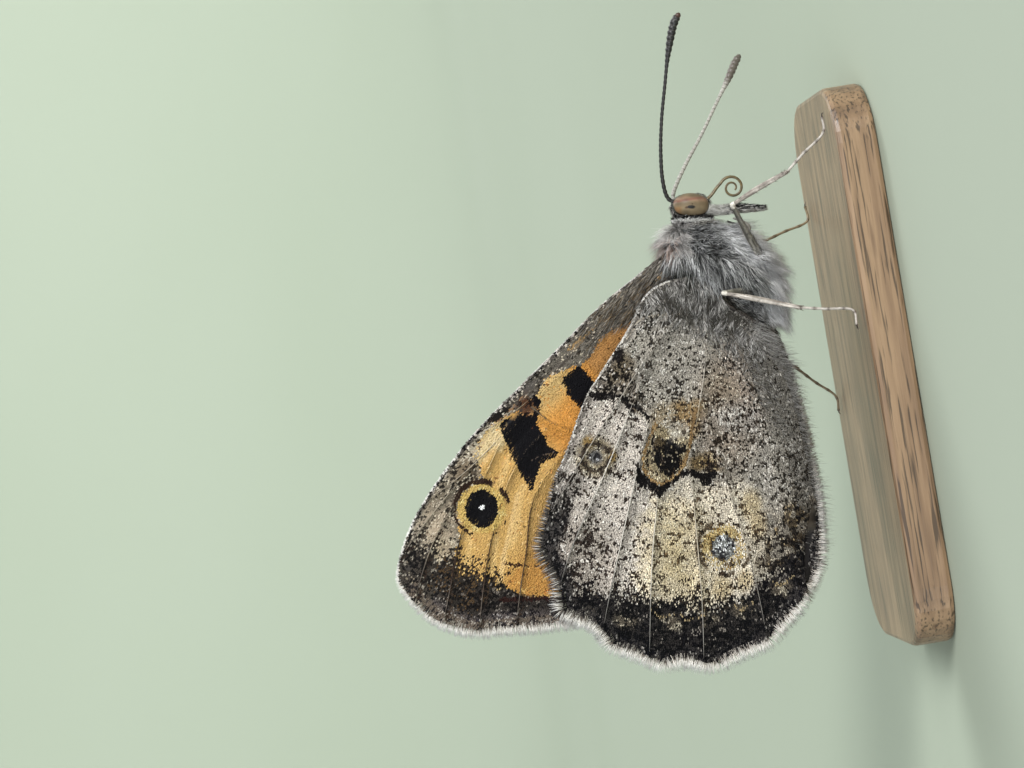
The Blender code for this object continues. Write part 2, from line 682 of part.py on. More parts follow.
def main():
    for thing in list(bpy.data.objects):
        bpy.data.objects.remove(thing)
    butterfly = make_collection("marbled_xenica")
    cutters = make_collection("cutters")

    body_room = add_object("body_room", body_loft(GAP), cutters)
    body_room.hide_render = True
    body_room.display_type = "WIRE"

    make_base(butterfly)
    body_piece("abdomen", None, WAIST_X - GAP / 2, "abdomen", butterfly)
    body_piece("thorax", WAIST_X + GAP / 2, NECK_X - GAP / 2, "fur", butterfly)
    body_piece("head", NECK_X + GAP / 2, None, "fur", butterfly)

    rooted = [make_proboscis("proboscis", butterfly)]
    forewing = wing_sheet(FOREWING)
    hindwing = wing_sheet(HINDWING)
    for letter, side in (("R", -1), ("L", 1)):
        make_eye(f"eye_{letter}", side, butterfly)
        rooted.append(make_palp(f"palp_{letter}", side, butterfly))
        rooted.append(make_foreleg(f"foreleg_{letter}", side, butterfly))
        antenna = ANTENNA_R if side < 0 else ANTENNA_L
        rooted.append(make_antenna(f"antenna_{letter}", antenna, side, f"antenna_{letter}", butterfly))
        for leg in ("midleg", "hindleg"):
            pieces = make_leg(f"{leg}_{letter}", LEGS[f"{leg}_{letter}"], side, butterfly)
            rooted.append(pieces[0])
        rooted.append(make_wing(f"forewing_{letter}", FOREWING, forewing_level, forewing, side, butterfly))
        make_wing(f"hindwing_{letter}", HINDWING, hindwing_level, hindwing, side, butterfly)
    for thing in rooted:
        cut_by(thing, body_room)


main()
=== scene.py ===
"""The looks of a marbled xenica butterfly: scaled wings, furred body, limbs, base, light and camera.

The insect faces +X with its right side on -Y, and the camera looks at that side. Lengths are in
millimetres and heights are counted from the plane that the solids' feet stand on. place() turns them
into metres in the frame.
"""

import math

import bpy
import numpy as np
from mathutils import Matrix, Vector
from mathutils.geometry import delaunay_2d_cdt


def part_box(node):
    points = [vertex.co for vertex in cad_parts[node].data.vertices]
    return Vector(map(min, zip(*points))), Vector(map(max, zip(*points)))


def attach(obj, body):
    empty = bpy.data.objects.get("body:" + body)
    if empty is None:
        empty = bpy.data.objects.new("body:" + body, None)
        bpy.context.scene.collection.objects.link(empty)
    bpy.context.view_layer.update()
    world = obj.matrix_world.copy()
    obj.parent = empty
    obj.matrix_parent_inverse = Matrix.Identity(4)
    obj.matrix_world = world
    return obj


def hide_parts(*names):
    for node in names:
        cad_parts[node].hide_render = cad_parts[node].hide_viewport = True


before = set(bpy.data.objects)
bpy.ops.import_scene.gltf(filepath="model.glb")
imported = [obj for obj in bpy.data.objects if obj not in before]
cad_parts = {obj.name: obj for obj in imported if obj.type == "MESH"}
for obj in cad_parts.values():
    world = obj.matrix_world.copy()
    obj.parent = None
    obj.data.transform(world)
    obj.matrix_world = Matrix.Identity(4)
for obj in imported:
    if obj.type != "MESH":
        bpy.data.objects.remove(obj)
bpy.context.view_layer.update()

MM = 0.001
GAP = 0.3
BASE_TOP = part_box("stand_base")[1].z / MM
FEET_LEVEL = BASE_TOP + GAP
SEED = 11

# Upright sections of the body: place along X, centre height, half width, half height.
BODY_SECTIONS = (
    (-4.60, 4.00, 0.25, 0.25), (-4.00, 4.00, 0.85, 0.85), (-2.50, 4.05, 1.20, 1.20),
    (-0.50, 4.15, 1.35, 1.35),
    (1.50, 4.25, 1.35, 1.40), (2.80, 4.35, 1.15, 1.30), (3.40, 4.50, 1.25, 1.50), (4.40, 4.90, 1.60, 2.10),
    (5.60, 5.30, 1.80, 2.50), (6.80, 5.85, 1.75, 2.35), (7.70, 6.20, 1.40, 1.95), (8.30, 6.35, 0.90, 1.25),
    (8.65, 6.40, 0.48, 0.72), (9.00, 6.45, 0.50, 0.95), (9.60, 6.50, 0.50, 1.05), (9.95, 6.50, 0.42, 0.80),
    (10.16, 6.50, 0.20, 0.40),
)
WAIST_X = 3.05
BODY_STEP = 0.6

EYE_X = 9.54
EYE_Z = 6.51
EYE_HALF_LENGTH = 0.60
EYE_HALF_HEIGHT = 0.93
EYE_BULGE = 0.78
EYE_SEAT = 0.50
HEAD_TILT = math.radians(9.5)

# Middle lines of the feelers, palps and tongue: X, distance from the middle plane, height.
ANTENNA_R = (
    (9.70, 0.34, 7.00), (10.05, 0.38, 7.58), (11.00, 0.85, 7.76), (12.41, 1.45, 7.68),
    (13.94, 2.05, 7.44), (15.45, 2.60, 7.09), (16.96, 3.05, 6.72), (18.29, 3.38, 6.27), (18.85, 3.50, 5.87),
)
ANTENNA_L = (
    (9.75, 0.34, 7.00), (10.25, 0.40, 7.20), (11.56, 1.10, 6.33), (13.15, 2.00, 5.05),
    (14.75, 2.90, 3.86), (15.90, 3.50, 3.00), (16.70, 3.90, 2.45), (17.10, 4.05, 2.10),
)
PALP = ((9.20, 0.40, 6.00), (9.08, 0.40, 5.20), (9.00, 0.40, 4.20), (8.88, 0.40, 3.35), (8.82, 0.40, 2.90))
PROBOSCIS_ROOT = ((9.62, 0.0, 5.95), (9.80, 0.0, 5.45), (10.20, 0.0, 5.02))
PROBOSCIS_CENTRE = (10.08, 4.22)

# Legs: hip, knee, ankle, heel and toe as X, distance from the middle plane, height above the feet plane.
LEGS = {
    "midleg_R": (
        (6.05, 0.75, 3.35), (9.07, 3.00, 4.80), (10.18, 4.20, 2.00), (11.75, 4.55, 0.24),
        (12.55, 4.70, 0.20),
    ),
    "midleg_L": (
        (6.60, 0.70, 3.70), (8.40, 3.00, 5.50), (7.26, 4.20, 2.50), (7.95, 4.55, 0.24), (8.75, 4.70, 0.20),
    ),
    "hindleg_R": (
        (4.70, 0.70, 3.50), (4.82, 3.35, 6.00), (3.47, 4.20, 2.45), (2.95, 4.55, 0.24), (2.15, 4.75, 0.20),
    ),
    "hindleg_L": (
        (4.60, 0.70, 3.50), (2.60, 3.60, 4.90), (0.44, 4.40, 1.80), (-1.30, 4.75, 0.24),
        (-2.10, 4.85, 0.20),
    ),
}
# Screen colours of the right and left legs: shin, its streaks, thigh, its streaks. The far left legs are
# darker and browner than the right ones: painted shade.
LEG_TONES = {
    "R": ((222, 214, 203), (92, 82, 74), (166, 162, 150), (66, 63, 57)),
    # The far side's legs, darker and browner as painted shade.
    "L": ((150, 132, 98), (84, 70, 48), (140, 124, 96), (70, 60, 46)),
}
FORELEG = ((7.20, 0.60, 4.90), (7.75, 0.95, 3.95), (8.15, 1.12, 4.05), (8.50, 1.22, 4.60))

# The wings' skin and scales.
SKIN_THICK = 0.09
SKIN_STEP = 0.42
MARGIN_STEP = 0.30
VEIN_RADIUS = 0.085
VEIN_END_RADIUS = 0.045
VEIN_RISE = 0.055
CREST_LIFT = 0.036
CREST_TAPER = 0.15
# How thick the crests of the stronger and the weaker veins are.
FINE = 0.026
FINER = 0.020
FOLD_DEPTH = 0.13
FOLD_REACH = 0.75
SCALE_LENGTH = 0.160
SCALE_WIDTH = 0.082
SCALE_ROW = 0.092
SCALE_TILT = 0.030
FRINGE_WIDTH = 0.036
FRINGE_SPACING = 0.0095
# The corners of one scale and one fringe hair: shares of the length and width, lift, place on the unwrap.
SCALE_SHAPE = (
    (0.0, -0.30, 0.0, 0, 0), (0.0, 0.30, 0.0, 1, 0), (1.0, 0.50, 1.0, 1, 1), (1.0, -0.50, 1.0, 0, 1),
    (0.62, 0.0, 1.25, 0.5, 0.5),
)
SCALE_FACES = ((0, 1, 4), (1, 2, 4), (2, 3, 4), (3, 0, 4), (0, 2, 1), (0, 3, 2))
FRINGE_SHAPE = (
    (0.0, -0.5, 0.0, 0, 0), (0.0, 0.5, 0.0, 1, 0), (0.55, 0.45, 0.02, 1, 0.5), (0.55, -0.45, 0.02, 0, 0.5),
    (1.0, 0.0, 0.0, 0.5, 1), (0.5, 0.0, -0.02, 0.5, 0.5),
)
FRINGE_FACES = ((0, 1, 2), (0, 2, 3), (3, 2, 4), (1, 0, 5), (2, 1, 5), (4, 2, 5), (3, 4, 5), (0, 3, 5))

# Each wing in its own plane: distance from the hinge towards the tip, then towards the rear corner.
# The outline's third number is the length of the fringe there, which the outline includes.
FOREWING = {
    "hinge": (6.86, 7.98),
    "along": (-0.630, 0.776),
    "across": (-0.776, -0.630),
    "outline": (
        (-0.60, -0.35, 0.00), (0.60, -0.62, 0.00), (1.38, -0.80, 0.05), (3.96, -1.22, 0.05),
        (6.80, -1.39, 0.06),
        (9.67, -1.58, 0.06), (12.20, -1.73, 0.06), (14.50, -1.70, 0.08), (17.10, -1.43, 0.10),
        (19.20, -0.92, 0.15),
        (21.07, 0.00, 0.25), (21.66, 0.92, 0.45), (21.90, 2.48, 0.60), (21.70, 3.74, 0.70),
        (21.00, 5.19, 0.75),
        (19.90, 6.26, 0.80), (18.60, 7.56, 0.80), (16.60, 9.25, 0.80), (14.50, 10.45, 0.70),
        (10.50, 8.00, 0.30),
        (5.50, 4.40, 0.20), (1.50, 1.60, 0.10), (-0.40, 0.75, 0.00),
    ),
    "veins": {
        "subcosta": ((1.20, -0.45), (5.00, -0.92), (10.50, -1.62)),
        "radius": ((1.00, 0.02), (5.00, -0.32), (10.20, -0.55)),
        "radius_1": ((8.20, -0.50), (11.20, -1.00), (13.80, -1.80)),
        "radius_3": ((10.20, -0.55), (14.50, -0.75), (17.80, -1.40)),
        "radius_4": ((14.50, -0.75), (18.15, -0.60), (20.40, -0.35)),
        "radius_5": ((14.50, -0.75), (16.20, -0.20), (18.70, 0.40), (21.90, 1.80)),
        "media_1": (
            (10.20, -0.55), (12.50, -0.40), (14.50, 0.15), (17.00, 0.98), (19.60, 2.45), (21.90, 3.80),
        ),
        "media_2": ((10.10, 0.80), (13.20, 1.00), (16.00, 2.20), (18.50, 3.70), (21.00, 5.50)),
        "media_3": ((9.60, 2.20), (13.30, 2.60), (15.90, 4.25), (17.40, 5.20), (20.00, 7.00)),
        "cubitus_1": ((8.20, 3.00), (12.00, 4.95), (15.50, 7.20), (18.20, 8.60)),
        "cubitus_2": ((5.50, 2.10), (10.00, 5.50), (16.40, 9.90)),
        "cubitus": ((1.00, 0.50), (3.00, 1.20), (5.50, 2.10), (8.20, 3.00), (9.60, 2.20)),
        "cell_end": ((10.20, -0.55), (10.10, 0.80), (9.60, 2.20)),
        "anal": ((1.30, 0.95), (4.00, 2.60), (9.00, 6.10), (14.70, 10.10)),
    },
    "level": 0.42,
    "root_level": 0.92,
    "root_reach": 2.2,
    # The stretches of veins that show among the scales: vein, from, to, thickness, first and last tone.
    "crests": (
        ("media_1", 12.6, 14.4, FINER, (226, 196, 144), (222, 190, 136)),
        ("media_2", 12.8, 14.4, FINER, (226, 192, 138), (214, 176, 116)),
        ("media_1", 16.8, 21.6, FINE, (52, 38, 32), (96, 86, 78)),
        ("media_2", 15.9, 20.8, FINE, (60, 44, 34), (96, 86, 78)),
        ("media_3", 13.2, 19.8, FINE, (70, 50, 36), (96, 86, 78)),
        ("radius_5", 16.4, 21.6, FINE, (150, 138, 120), (84, 76, 70)),
        ("radius_4", 15.6, 20.2, FINE, (168, 156, 138), (120, 110, 100)),
        ("radius_3", 12.2, 17.4, FINER, (176, 164, 146), (150, 138, 122)),
        ("radius_1", 10.0, 13.6, FINER, (156, 138, 114), (176, 166, 150)),
    ),
}
HINDWING = {
    "hinge": (5.47, 6.68),
    "along": (-0.957, 0.289),
    "across": (-0.289, -0.957),
    "outline": (
        (-0.25, -0.60, 0.00), (0.16, -2.02, 0.05), (1.04, -2.92, 0.05), (2.69, -3.48, 0.05),
        (4.85, -4.47, 0.05),
        (6.47, -5.18, 0.05), (9.04, -5.77, 0.08), (10.50, -6.24, 0.20), (11.80, -6.54, 0.40),
        (13.60, -6.92, 0.60),
        (14.40, -6.96, 0.70), (15.15, -6.57, 0.80), (15.90, -6.00, 0.85), (17.50, -5.56, 0.85),
        (17.90, -4.84, 0.85),
        (18.30, -3.36, 0.85), (19.10, -2.64, 0.85), (19.40, -1.34, 0.90), (19.70, -0.22, 0.90),
        (19.90, 0.61, 0.90),
        (19.50, 1.48, 0.90), (19.60, 2.72, 0.90), (19.40, 3.50, 0.90), (18.85, 4.35, 0.90),
        (17.90, 5.95, 0.90),
        (17.00, 6.60, 0.90), (15.60, 7.50, 0.85), (14.20, 8.10, 0.80), (12.90, 8.27, 0.70),
        (10.95, 7.92, 0.60),
        (8.74, 7.33, 0.55), (6.30, 6.40, 0.50), (4.39, 5.50, 0.40), (2.72, 4.58, 0.30), (1.50, 2.99, 0.20),
        (0.84, 1.38, 0.10), (0.10, 0.35, 0.00),
    ),
    "veins": {
        "subcosta": ((0.70, -1.30), (1.40, -2.20), (2.80, -2.95), (5.50, -4.15), (9.80, -5.60)),
        "radius": (
            (0.70, -0.60), (1.60, -1.00), (3.40, -2.05), (6.30, -3.45), (9.10, -4.75), (13.40, -6.60),
        ),
        "sector": ((3.40, -2.05), (7.20, -2.95), (10.20, -3.75), (13.90, -4.85), (17.40, -5.45)),
        "media_1": ((7.30, -1.80), (9.70, -2.10), (16.30, -2.70), (18.90, -2.80)),
        "media_2": ((8.60, -0.90), (10.90, -0.90), (14.40, -0.76), (19.90, -0.20)),
        "cubitus_1": ((7.94, 0.35), (11.00, 0.95), (15.70, 1.95), (19.80, 2.60)),
        "cubitus_2": ((5.60, 0.60), (10.00, 2.60), (14.40, 4.50), (18.30, 5.80)),
        "cubitus": ((0.80, 0.10), (3.06, 0.55), (5.60, 0.60), (7.94, 0.35), (8.60, -0.90)),
        "cell_end": ((6.60, -2.80), (7.30, -1.80), (8.60, -0.90)),
        "anal_2": ((1.10, 0.75), (2.50, 1.90), (5.00, 3.20), (10.50, 5.40), (16.30, 7.30)),
        "anal_3": ((1.70, 2.00), (2.80, 3.20), (4.60, 4.75), (8.50, 6.40), (13.20, 8.30)),
    },
    "level": 1.24,
    "root_level": 1.69,
    "root_reach": 3.0,
    "crests": (
        ("radius", 3.6, 12.6, FINER, (178, 171, 161), (150, 144, 136)),
        ("sector", 6.3, 17.0, FINE, (206, 200, 191), (132, 129, 124)),
        ("media_1", 9.9, 18.6, FINE, (212, 206, 197), (126, 122, 117)),
        ("media_2", 10.6, 19.4, FINE, (214, 206, 192), (128, 125, 120)),
        ("cubitus_1", 10.0, 19.3, FINE, (186, 176, 158), (132, 128, 122)),
        ("cubitus_2", 9.4, 17.6, FINER, (150, 142, 130), (120, 116, 110)),
        ("cubitus", 3.6, 7.4, FINER, (186, 178, 166), (170, 156, 132)),
    ),
}
WING_CLEARANCE = 0.60
SLEEVE_TAIL = ((-10.0, 4.0, 0.05, 0.05), (-7.5, 4.0, 0.80, 0.80), (-5.2, 4.0, 1.40, 1.40))
SLEEVE_FROM = -3.0
LOWER_LEVEL = 0.80
LEVEL_BLEND = 0.35

# The rows of scales are arcs around this place beyond the wing's root.
FOCUS = (-4.0, -0.3)

# How many hairs each coat has.
THORAX_HAIRS = 13000
BELLY_HAIRS = 6500
NAPE_HAIRS = 3800
SHOULDER_HAIRS = 3200
ABDOMEN_HAIRS = 4200
HEAD_HAIRS = 5200
COLLAR_HAIRS = 1500
PALP_HAIRS = 2400
THIGH_HAIRS = 500
SHIN_BRISTLES = 30
REAR_HAIRS = 11000
ROOT_HAIRS = 3400
FRONT_HAIRS = 3600

# On the coat's unwrap each scale or hair is a small patch at its root's place on the wing or body.
PATCH = 0.003
WING_UNWRAP_START = (1.5, 9.0)
WING_UNWRAP_SPAN = 26.0

LIMB_SIDES = 12
SIDES = (("R", -1), ("L", 1))

# The camera: what it looks at, and how the photograph's frame lies on the object.
AIM = (2.1, 0.0, 19.2)
CAMERA_DISTANCE = 143.6
CAMERA_ELEVATION = math.radians(3.0)
CAMERA_UP = (0.986, 0.0, -0.165)
LENS = 100.0
SENSOR_WIDTH = 36.0

SKY_COLOUR = (0.92, 0.96, 1.0, 1)
SKY_STRENGTH = 0.62
LAMP_AIM = (0.0, 0.0, 0.015)
# Each lamp: place in metres, size, power, colour.
LAMPS = (
    ("key", (1.50, -1.90, 1.00), 0.90, 76.0, (1.0, 0.99, 0.98)),
    ("fill", (-1.10, -2.10, 0.25), 1.20, 35.0, (0.96, 0.98, 1.0)),
    ("back", (0.60, 0.60, 0.75), 0.60, 10.0, (0.98, 0.99, 1.0)),
)


def place(x, y, z):
    """Metres in the frame from millimetres, for numbers or arrays, with heights from the feet plane."""
    x, y, z = np.broadcast_arrays(x, y, z)
    return np.stack((x, y, z + FEET_LEVEL), axis=-1) * MM


def catmull_rom(a, b, c, d, t):
    """The point at t on the smooth curve from b to c."""
    return 0.5 * (2 * b + (c - a) * t + (2 * a - 5 * b + 4 * c - d) * t**2 + (3 * b - a - 3 * c + d) * t**3)


def smooth_path(points, step, closed=False):
    """Points about one step apart on a smooth curve through the given ones."""
    knots = [np.array(point, float) for point in points]
    count = len(knots)
    spans = count if closed else count - 1
    path = []
    for index in range(spans):
        if closed:
            a, b, c, d = (knots[(index + shift) % count] for shift in (-1, 0, 1, 2))
        else:
            b, c = knots[index], knots[index + 1]
            a = knots[index - 1] if index else 2 * b - c
            d = knots[index + 2] if index + 2 < count else 2 * c - b
        parts = max(1, round(np.linalg.norm((c - b)[:3]) / step))
        path += [catmull_rom(a, b, c, d, part / parts) for part in range(parts)]
    if not closed:
        path.append(knots[-1])
    return np.array(path)


def blend(low, high, share):
    return low + (high - low) * share


def ease(share):
    """0 to 1 with level ends."""
    share = np.clip(share, 0, 1)
    return share * share * (3 - 2 * share)


def unit(vectors):
    return vectors / np.maximum(np.linalg.norm(vectors, axis=-1, keepdims=True), 1e-12)


def lattice(column, row, seed):
    """A repeatable number from 0 to 1 for each whole-numbered place."""
    mixed = (column * 374761393 + row * 668265263 + seed * 974634777) & 0xFFFFFFFF
    mixed = ((mixed ^ (mixed >> 13)) * 1274126177) & 0xFFFFFFFF
    return ((mixed ^ (mixed >> 16)) & 0xFFFF) / 65535


def mottle(p, q, size, seed):
    """Soft random patches of this size, from 0 to 1."""
    column = np.floor(p / size).astype(np.int64)
    row = np.floor(q / size).astype(np.int64)
    right = ease(p / size - column)
    up = ease(q / size - row)
    low = blend(lattice(column, row, seed), lattice(column + 1, row, seed), right)
    high = blend(lattice(column, row + 1, seed), lattice(column + 1, row + 1, seed), right)
    return blend(low, high, up)


def evenly(values):
    """The values' ranks, spread from 0 to 1."""
    ranks = np.empty(len(values))
    ranks[np.argsort(values)] = np.linspace(0, 1, len(values))
    return ranks


def path_distance(p, q, path):
    """Each point's least distance to the path, and the share of the path's length at that place."""
    best = np.full(np.shape(p), 1e9)
    share = np.zeros(np.shape(p))
    runs = len(path) - 1
    for index in range(runs):
        (ax, ay), (bx, by) = path[index][:2], path[index + 1][:2]
        length = max((bx - ax) ** 2 + (by - ay) ** 2, 1e-12)
        t = np.clip(((p - ax) * (bx - ax) + (q - ay) * (by - ay)) / length, 0, 1)
        gap = np.hypot(p - ax - t * (bx - ax), q - ay - t * (by - ay))
        nearer = gap < best
        best = np.where(nearer, gap, best)
        share = np.where(nearer, (index + t) / runs, share)
    return best, share


def is_inside(p, q, outline):
    found = np.zeros(np.shape(p), bool)
    for (ax, ay), (bx, by) in zip(outline[:, :2], np.roll(outline[:, :2], -1, axis=0)):
        if ay == by:
            continue
        crosses = (ay > q) != (by > q)
        found ^= crosses & (p < (bx - ax) * (q - ay) / (by - ay) + ax)
    return found


def depth_in(p, q, corners, step=0.3):
    """How far each point lies inside a smooth closed outline. Outside it is negative."""
    loop = smooth_path(corners, step, closed=True)
    gap, _ = path_distance(p, q, np.vstack((loop, loop[:1])))
    return np.where(is_inside(p, q, loop), gap, -gap)


def rgb(*values):
    return np.array(values, float)


def tint(colours, colour, mask):
    """The colours drawn towards one screen colour by the mask."""
    return blend(colours, np.array(colour, float), np.asarray(mask)[..., None])


def linear(colour):
    """Linear light from a screen colour of 0 to 255."""
    colour = np.clip(np.asarray(colour, float) / 255, 0, 1)
    return np.where(colour <= 0.04045, colour / 12.92, ((colour + 0.055) / 1.055) ** 2.4)


def cover(depth, soft):
    """A mask whose edge is this soft and lies where the depth is 0."""
    return np.clip(0.5 + depth / soft, 0, 1)


def solid_mesh(points, triangles, shades=None, places=None):
    """A mesh from corners and triangles, with a colour and a place on the unwrap for each corner."""
    mesh = bpy.data.meshes.new("piece")
    count = len(triangles)
    mesh.vertices.add(len(points))
    mesh.vertices.foreach_set("co", np.asarray(points, np.float32).ravel())
    mesh.loops.add(count * 3)
    mesh.loops.foreach_set("vertex_index", np.asarray(triangles, np.int32).ravel())
    mesh.polygons.add(count)
    mesh.polygons.foreach_set("loop_start", np.arange(0, count * 3, 3, dtype=np.int32))
    mesh.update(calc_edges=True)
    mesh.shade_smooth()
    if shades is not None:
        layer = mesh.color_attributes.new("pigment", "FLOAT_COLOR", "POINT")
        layer.data.foreach_set("color", np.c_[shades, np.ones(len(shades))].astype(np.float32).ravel())
    if places is not None:
        unwrap = mesh.uv_layers.new(name="OFBake")
        unwrap.data.foreach_set("uv", places[np.asarray(triangles).ravel()].astype(np.float32).ravel())
    return mesh


def add_piece(name, mesh, material, nodes=()):
    """A piece of the insect, which rides on its one body and takes the place of the named solids."""
    mesh.name = name
    thing = bpy.data.objects.new(name, mesh)
    bpy.context.scene.collection.objects.link(thing)
    mesh.materials.append(material)
    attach(thing, "root")
    if nodes:
        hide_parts(*nodes)
    return thing


def joined(parts):
    """Several (points, triangles, shades) as one."""
    points = np.vstack([part[0] for part in parts])
    shades = np.vstack([part[2] for part in parts])
    starts = np.cumsum([0] + [len(part[0]) for part in parts[:-1]])
    triangles = np.vstack([part[1] + start for part, start in zip(parts, starts)])
    return points, triangles, shades


def tube_faces(rings, sides):
    """The triangles between neighbouring rings of points."""
    start = np.arange(rings - 1)[:, None] * sides
    side = np.arange(sides)[None, :]
    a = (start + side).ravel()
    b = (start + (side + 1) % sides).ravel()
    return np.vstack((np.c_[a, b, b + sides], np.c_[a, b + sides, a + sides]))


def closed_faces(rings, sides):
    """The triangles of a tube whose two end points follow its rings."""
    turn = np.arange(sides)
    following = np.roll(turn, -1)
    end = (rings - 1) * sides
    tip = np.full(sides, rings * sides)
    return np.vstack((
        tube_faces(rings, sides),
        np.c_[following, turn, tip],
        np.c_[end + turn, end + following, tip + 1],
    ))


def sweep(path, radii, shades, sides=12, flatten=1.0):
    """A closed round bar along a path in millimetres, whose rings turn as little as they can."""
    path = np.asarray(path, float)
    radii = np.broadcast_to(np.asarray(radii, float), (len(path),))
    shades = np.broadcast_to(np.asarray(shades, float), (len(path), 3))
    runs = unit(np.gradient(path, axis=0))
    across = unit(np.cross(runs[0], (0.31, 0.87, 0.22)))
    angles = math.tau * np.arange(sides) / sides
    rings = []
    for centre, run, radius in zip(path, runs, radii):
        across = unit(across - run * np.dot(across, run))
        other = np.cross(run, across)
        rings.append(
            centre + radius * (np.outer(np.cos(angles), across) + flatten * np.outer(np.sin(angles), other))
        )
    points = np.vstack(rings + [path[:1], path[-1:]])
    colours = np.vstack((np.repeat(shades, sides, axis=0), shades[:1], shades[-1:]))
    return place(*points.T), closed_faces(len(path), sides), colours


def hairs(roots, lies, normals, lengths, widths, root_shades, tip_shades, places, lift, rng):
    """Tapered three-sided hairs that leave the skin at a slant and bend over into the coat's lie.

    roots, lies and normals are in millimetres. lift is how far they stand up from the skin.
    """
    count = len(roots)
    lengths = np.broadcast_to(lengths, count)[:, None]
    widths = np.broadcast_to(widths, count)[:, None] / 2
    lift = np.broadcast_to(lift, count)[:, None]
    start = unit(lies + normals * lift + rng.normal(0, 0.16, (count, 3)))
    end = unit(lies + normals * lift * 0.35 + rng.normal(0, 0.16, (count, 3)))
    side = unit(np.cross(start, normals) + 1e-6)
    other = np.cross(side, start)
    knee = roots + start * lengths * 0.5
    tip = knee + end * lengths * 0.5
    corners = []
    for centre, size in ((roots - start * 0.05, 1.0), (knee, 0.8)):
        for turn in range(3):
            angle = math.tau * turn / 3
            corners.append(
                centre + widths * size * (side * math.cos(angle) + other * math.sin(angle) * 0.6)
            )
    corners.append(tip)
    points = np.stack(corners, axis=1)
    one = [(0, 2, 1), (3, 4, 6), (4, 5, 6), (5, 3, 6)]
    for turn in range(3):
        following = (turn + 1) % 3
        one += [(turn, following, following + 3), (turn, following + 3, turn + 3)]
    triangles = (np.arange(count)[:, None, None] * 7 + np.array(one)).reshape(-1, 3)
    shares = np.array((0, 0, 0, 0.5, 0.5, 0.5, 1.0))[None, :, None]
    shades = blend(root_shades[:, None, :], tip_shades[:, None, :], shares).reshape(-1, 3)
    spread = np.array(((0, 0), (1, 0), (0.5, 0), (0, 0.5), (1, 0.5), (0.5, 0.5), (0.5, 1))) * PATCH
    unwrap = (places[:, None, :] + spread).reshape(-1, 2)
    points = points.reshape(-1, 3)
    return solid_mesh(place(*points.T), triangles, shades, unwrap)


class Nodes:
    """A short way to write a material's nodes."""

    def __init__(self, name, roughness, **values):
        self.material = bpy.data.materials.new(name)
        self.material.use_nodes = True
        self.tree = self.material.node_tree
        self.shader = self.tree.nodes["Principled BSDF"]
        self.shader.inputs["Roughness"].default_value = roughness
        for socket, value in values.items():
            self.shader.inputs[socket.replace("_", " ")].default_value = value

    def add(self, kind, inputs=(), **settings):
        node = self.tree.nodes.new("ShaderNode" + kind)
        for key, value in settings.items():
            setattr(node, key, value)
        for key, value in dict(inputs).items():
            if isinstance(value, bpy.types.NodeSocket):
                self.tree.links.new(value, node.inputs[key])
            else:
                node.inputs[key].default_value = value
        return node

    def place(self, scale=(1, 1, 1)):
        """The point on the object in millimetres, stretched by scale."""
        where = self.add("TexCoord").outputs["Object"]
        size = tuple(value / MM for value in scale)
        return self.add("Mapping", {"Vector": where, "Scale": size}).outputs["Vector"]

    def noise(self, scale, detail=3.0, stretch=(1, 1, 1)):
        """A noise with this many patches to the millimetre."""
        inputs = {"Vector": self.place(stretch), "Scale": scale, "Detail": detail}
        return self.add("TexNoise", inputs).outputs["Fac"]

    def ramp(self, factor, stops):
        """Colours, as screen values, at places on the factor."""
        node = self.add("ValToRGB", {"Fac": factor})
        elements = node.color_ramp.elements
        while len(elements) < len(stops):
            elements.new(0.5)
        for element, (position, colour) in zip(elements, stops):
            element.position = position
            element.color = (*linear(colour), 1)
        return node.outputs["Color"]

    def mix(self, factor, first, second, kind="MIX"):
        node = self.add("Mix", data_type="RGBA", blend_type=kind)
        for key, value in ((0, factor), (6, first), (7, second)):
            if isinstance(value, bpy.types.NodeSocket):
                self.tree.links.new(value, node.inputs[key])
            else:
                node.inputs[key].default_value = value
        return node.outputs[2]

    def pigment(self):
        return self.add("Attribute", attribute_name="pigment").outputs["Color"]

    def colour(self, socket):
        self.tree.links.new(socket, self.shader.inputs["Base Color"])

    def bump(self, height, distance, strength=1.0):
        node = self.add("Bump", {"Height": height, "Distance": distance * MM, "Strength": strength})
        self.tree.links.new(node.outputs["Normal"], self.shader.inputs["Normal"])


def pigment_material(name, roughness, grain, contrast, **values):
    """The piece's own colours with a fine uneven grain."""
    nodes = Nodes(name, roughness, **values)
    fine = nodes.ramp(nodes.noise(grain), ((0.25, (255 - contrast,) * 3), (0.75, (255,) * 3)))
    nodes.colour(nodes.mix(1.0, nodes.pigment(), fine, "MULTIPLY"))
    nodes.bump(nodes.noise(grain * 2), 0.01, 0.5)
    return nodes.material


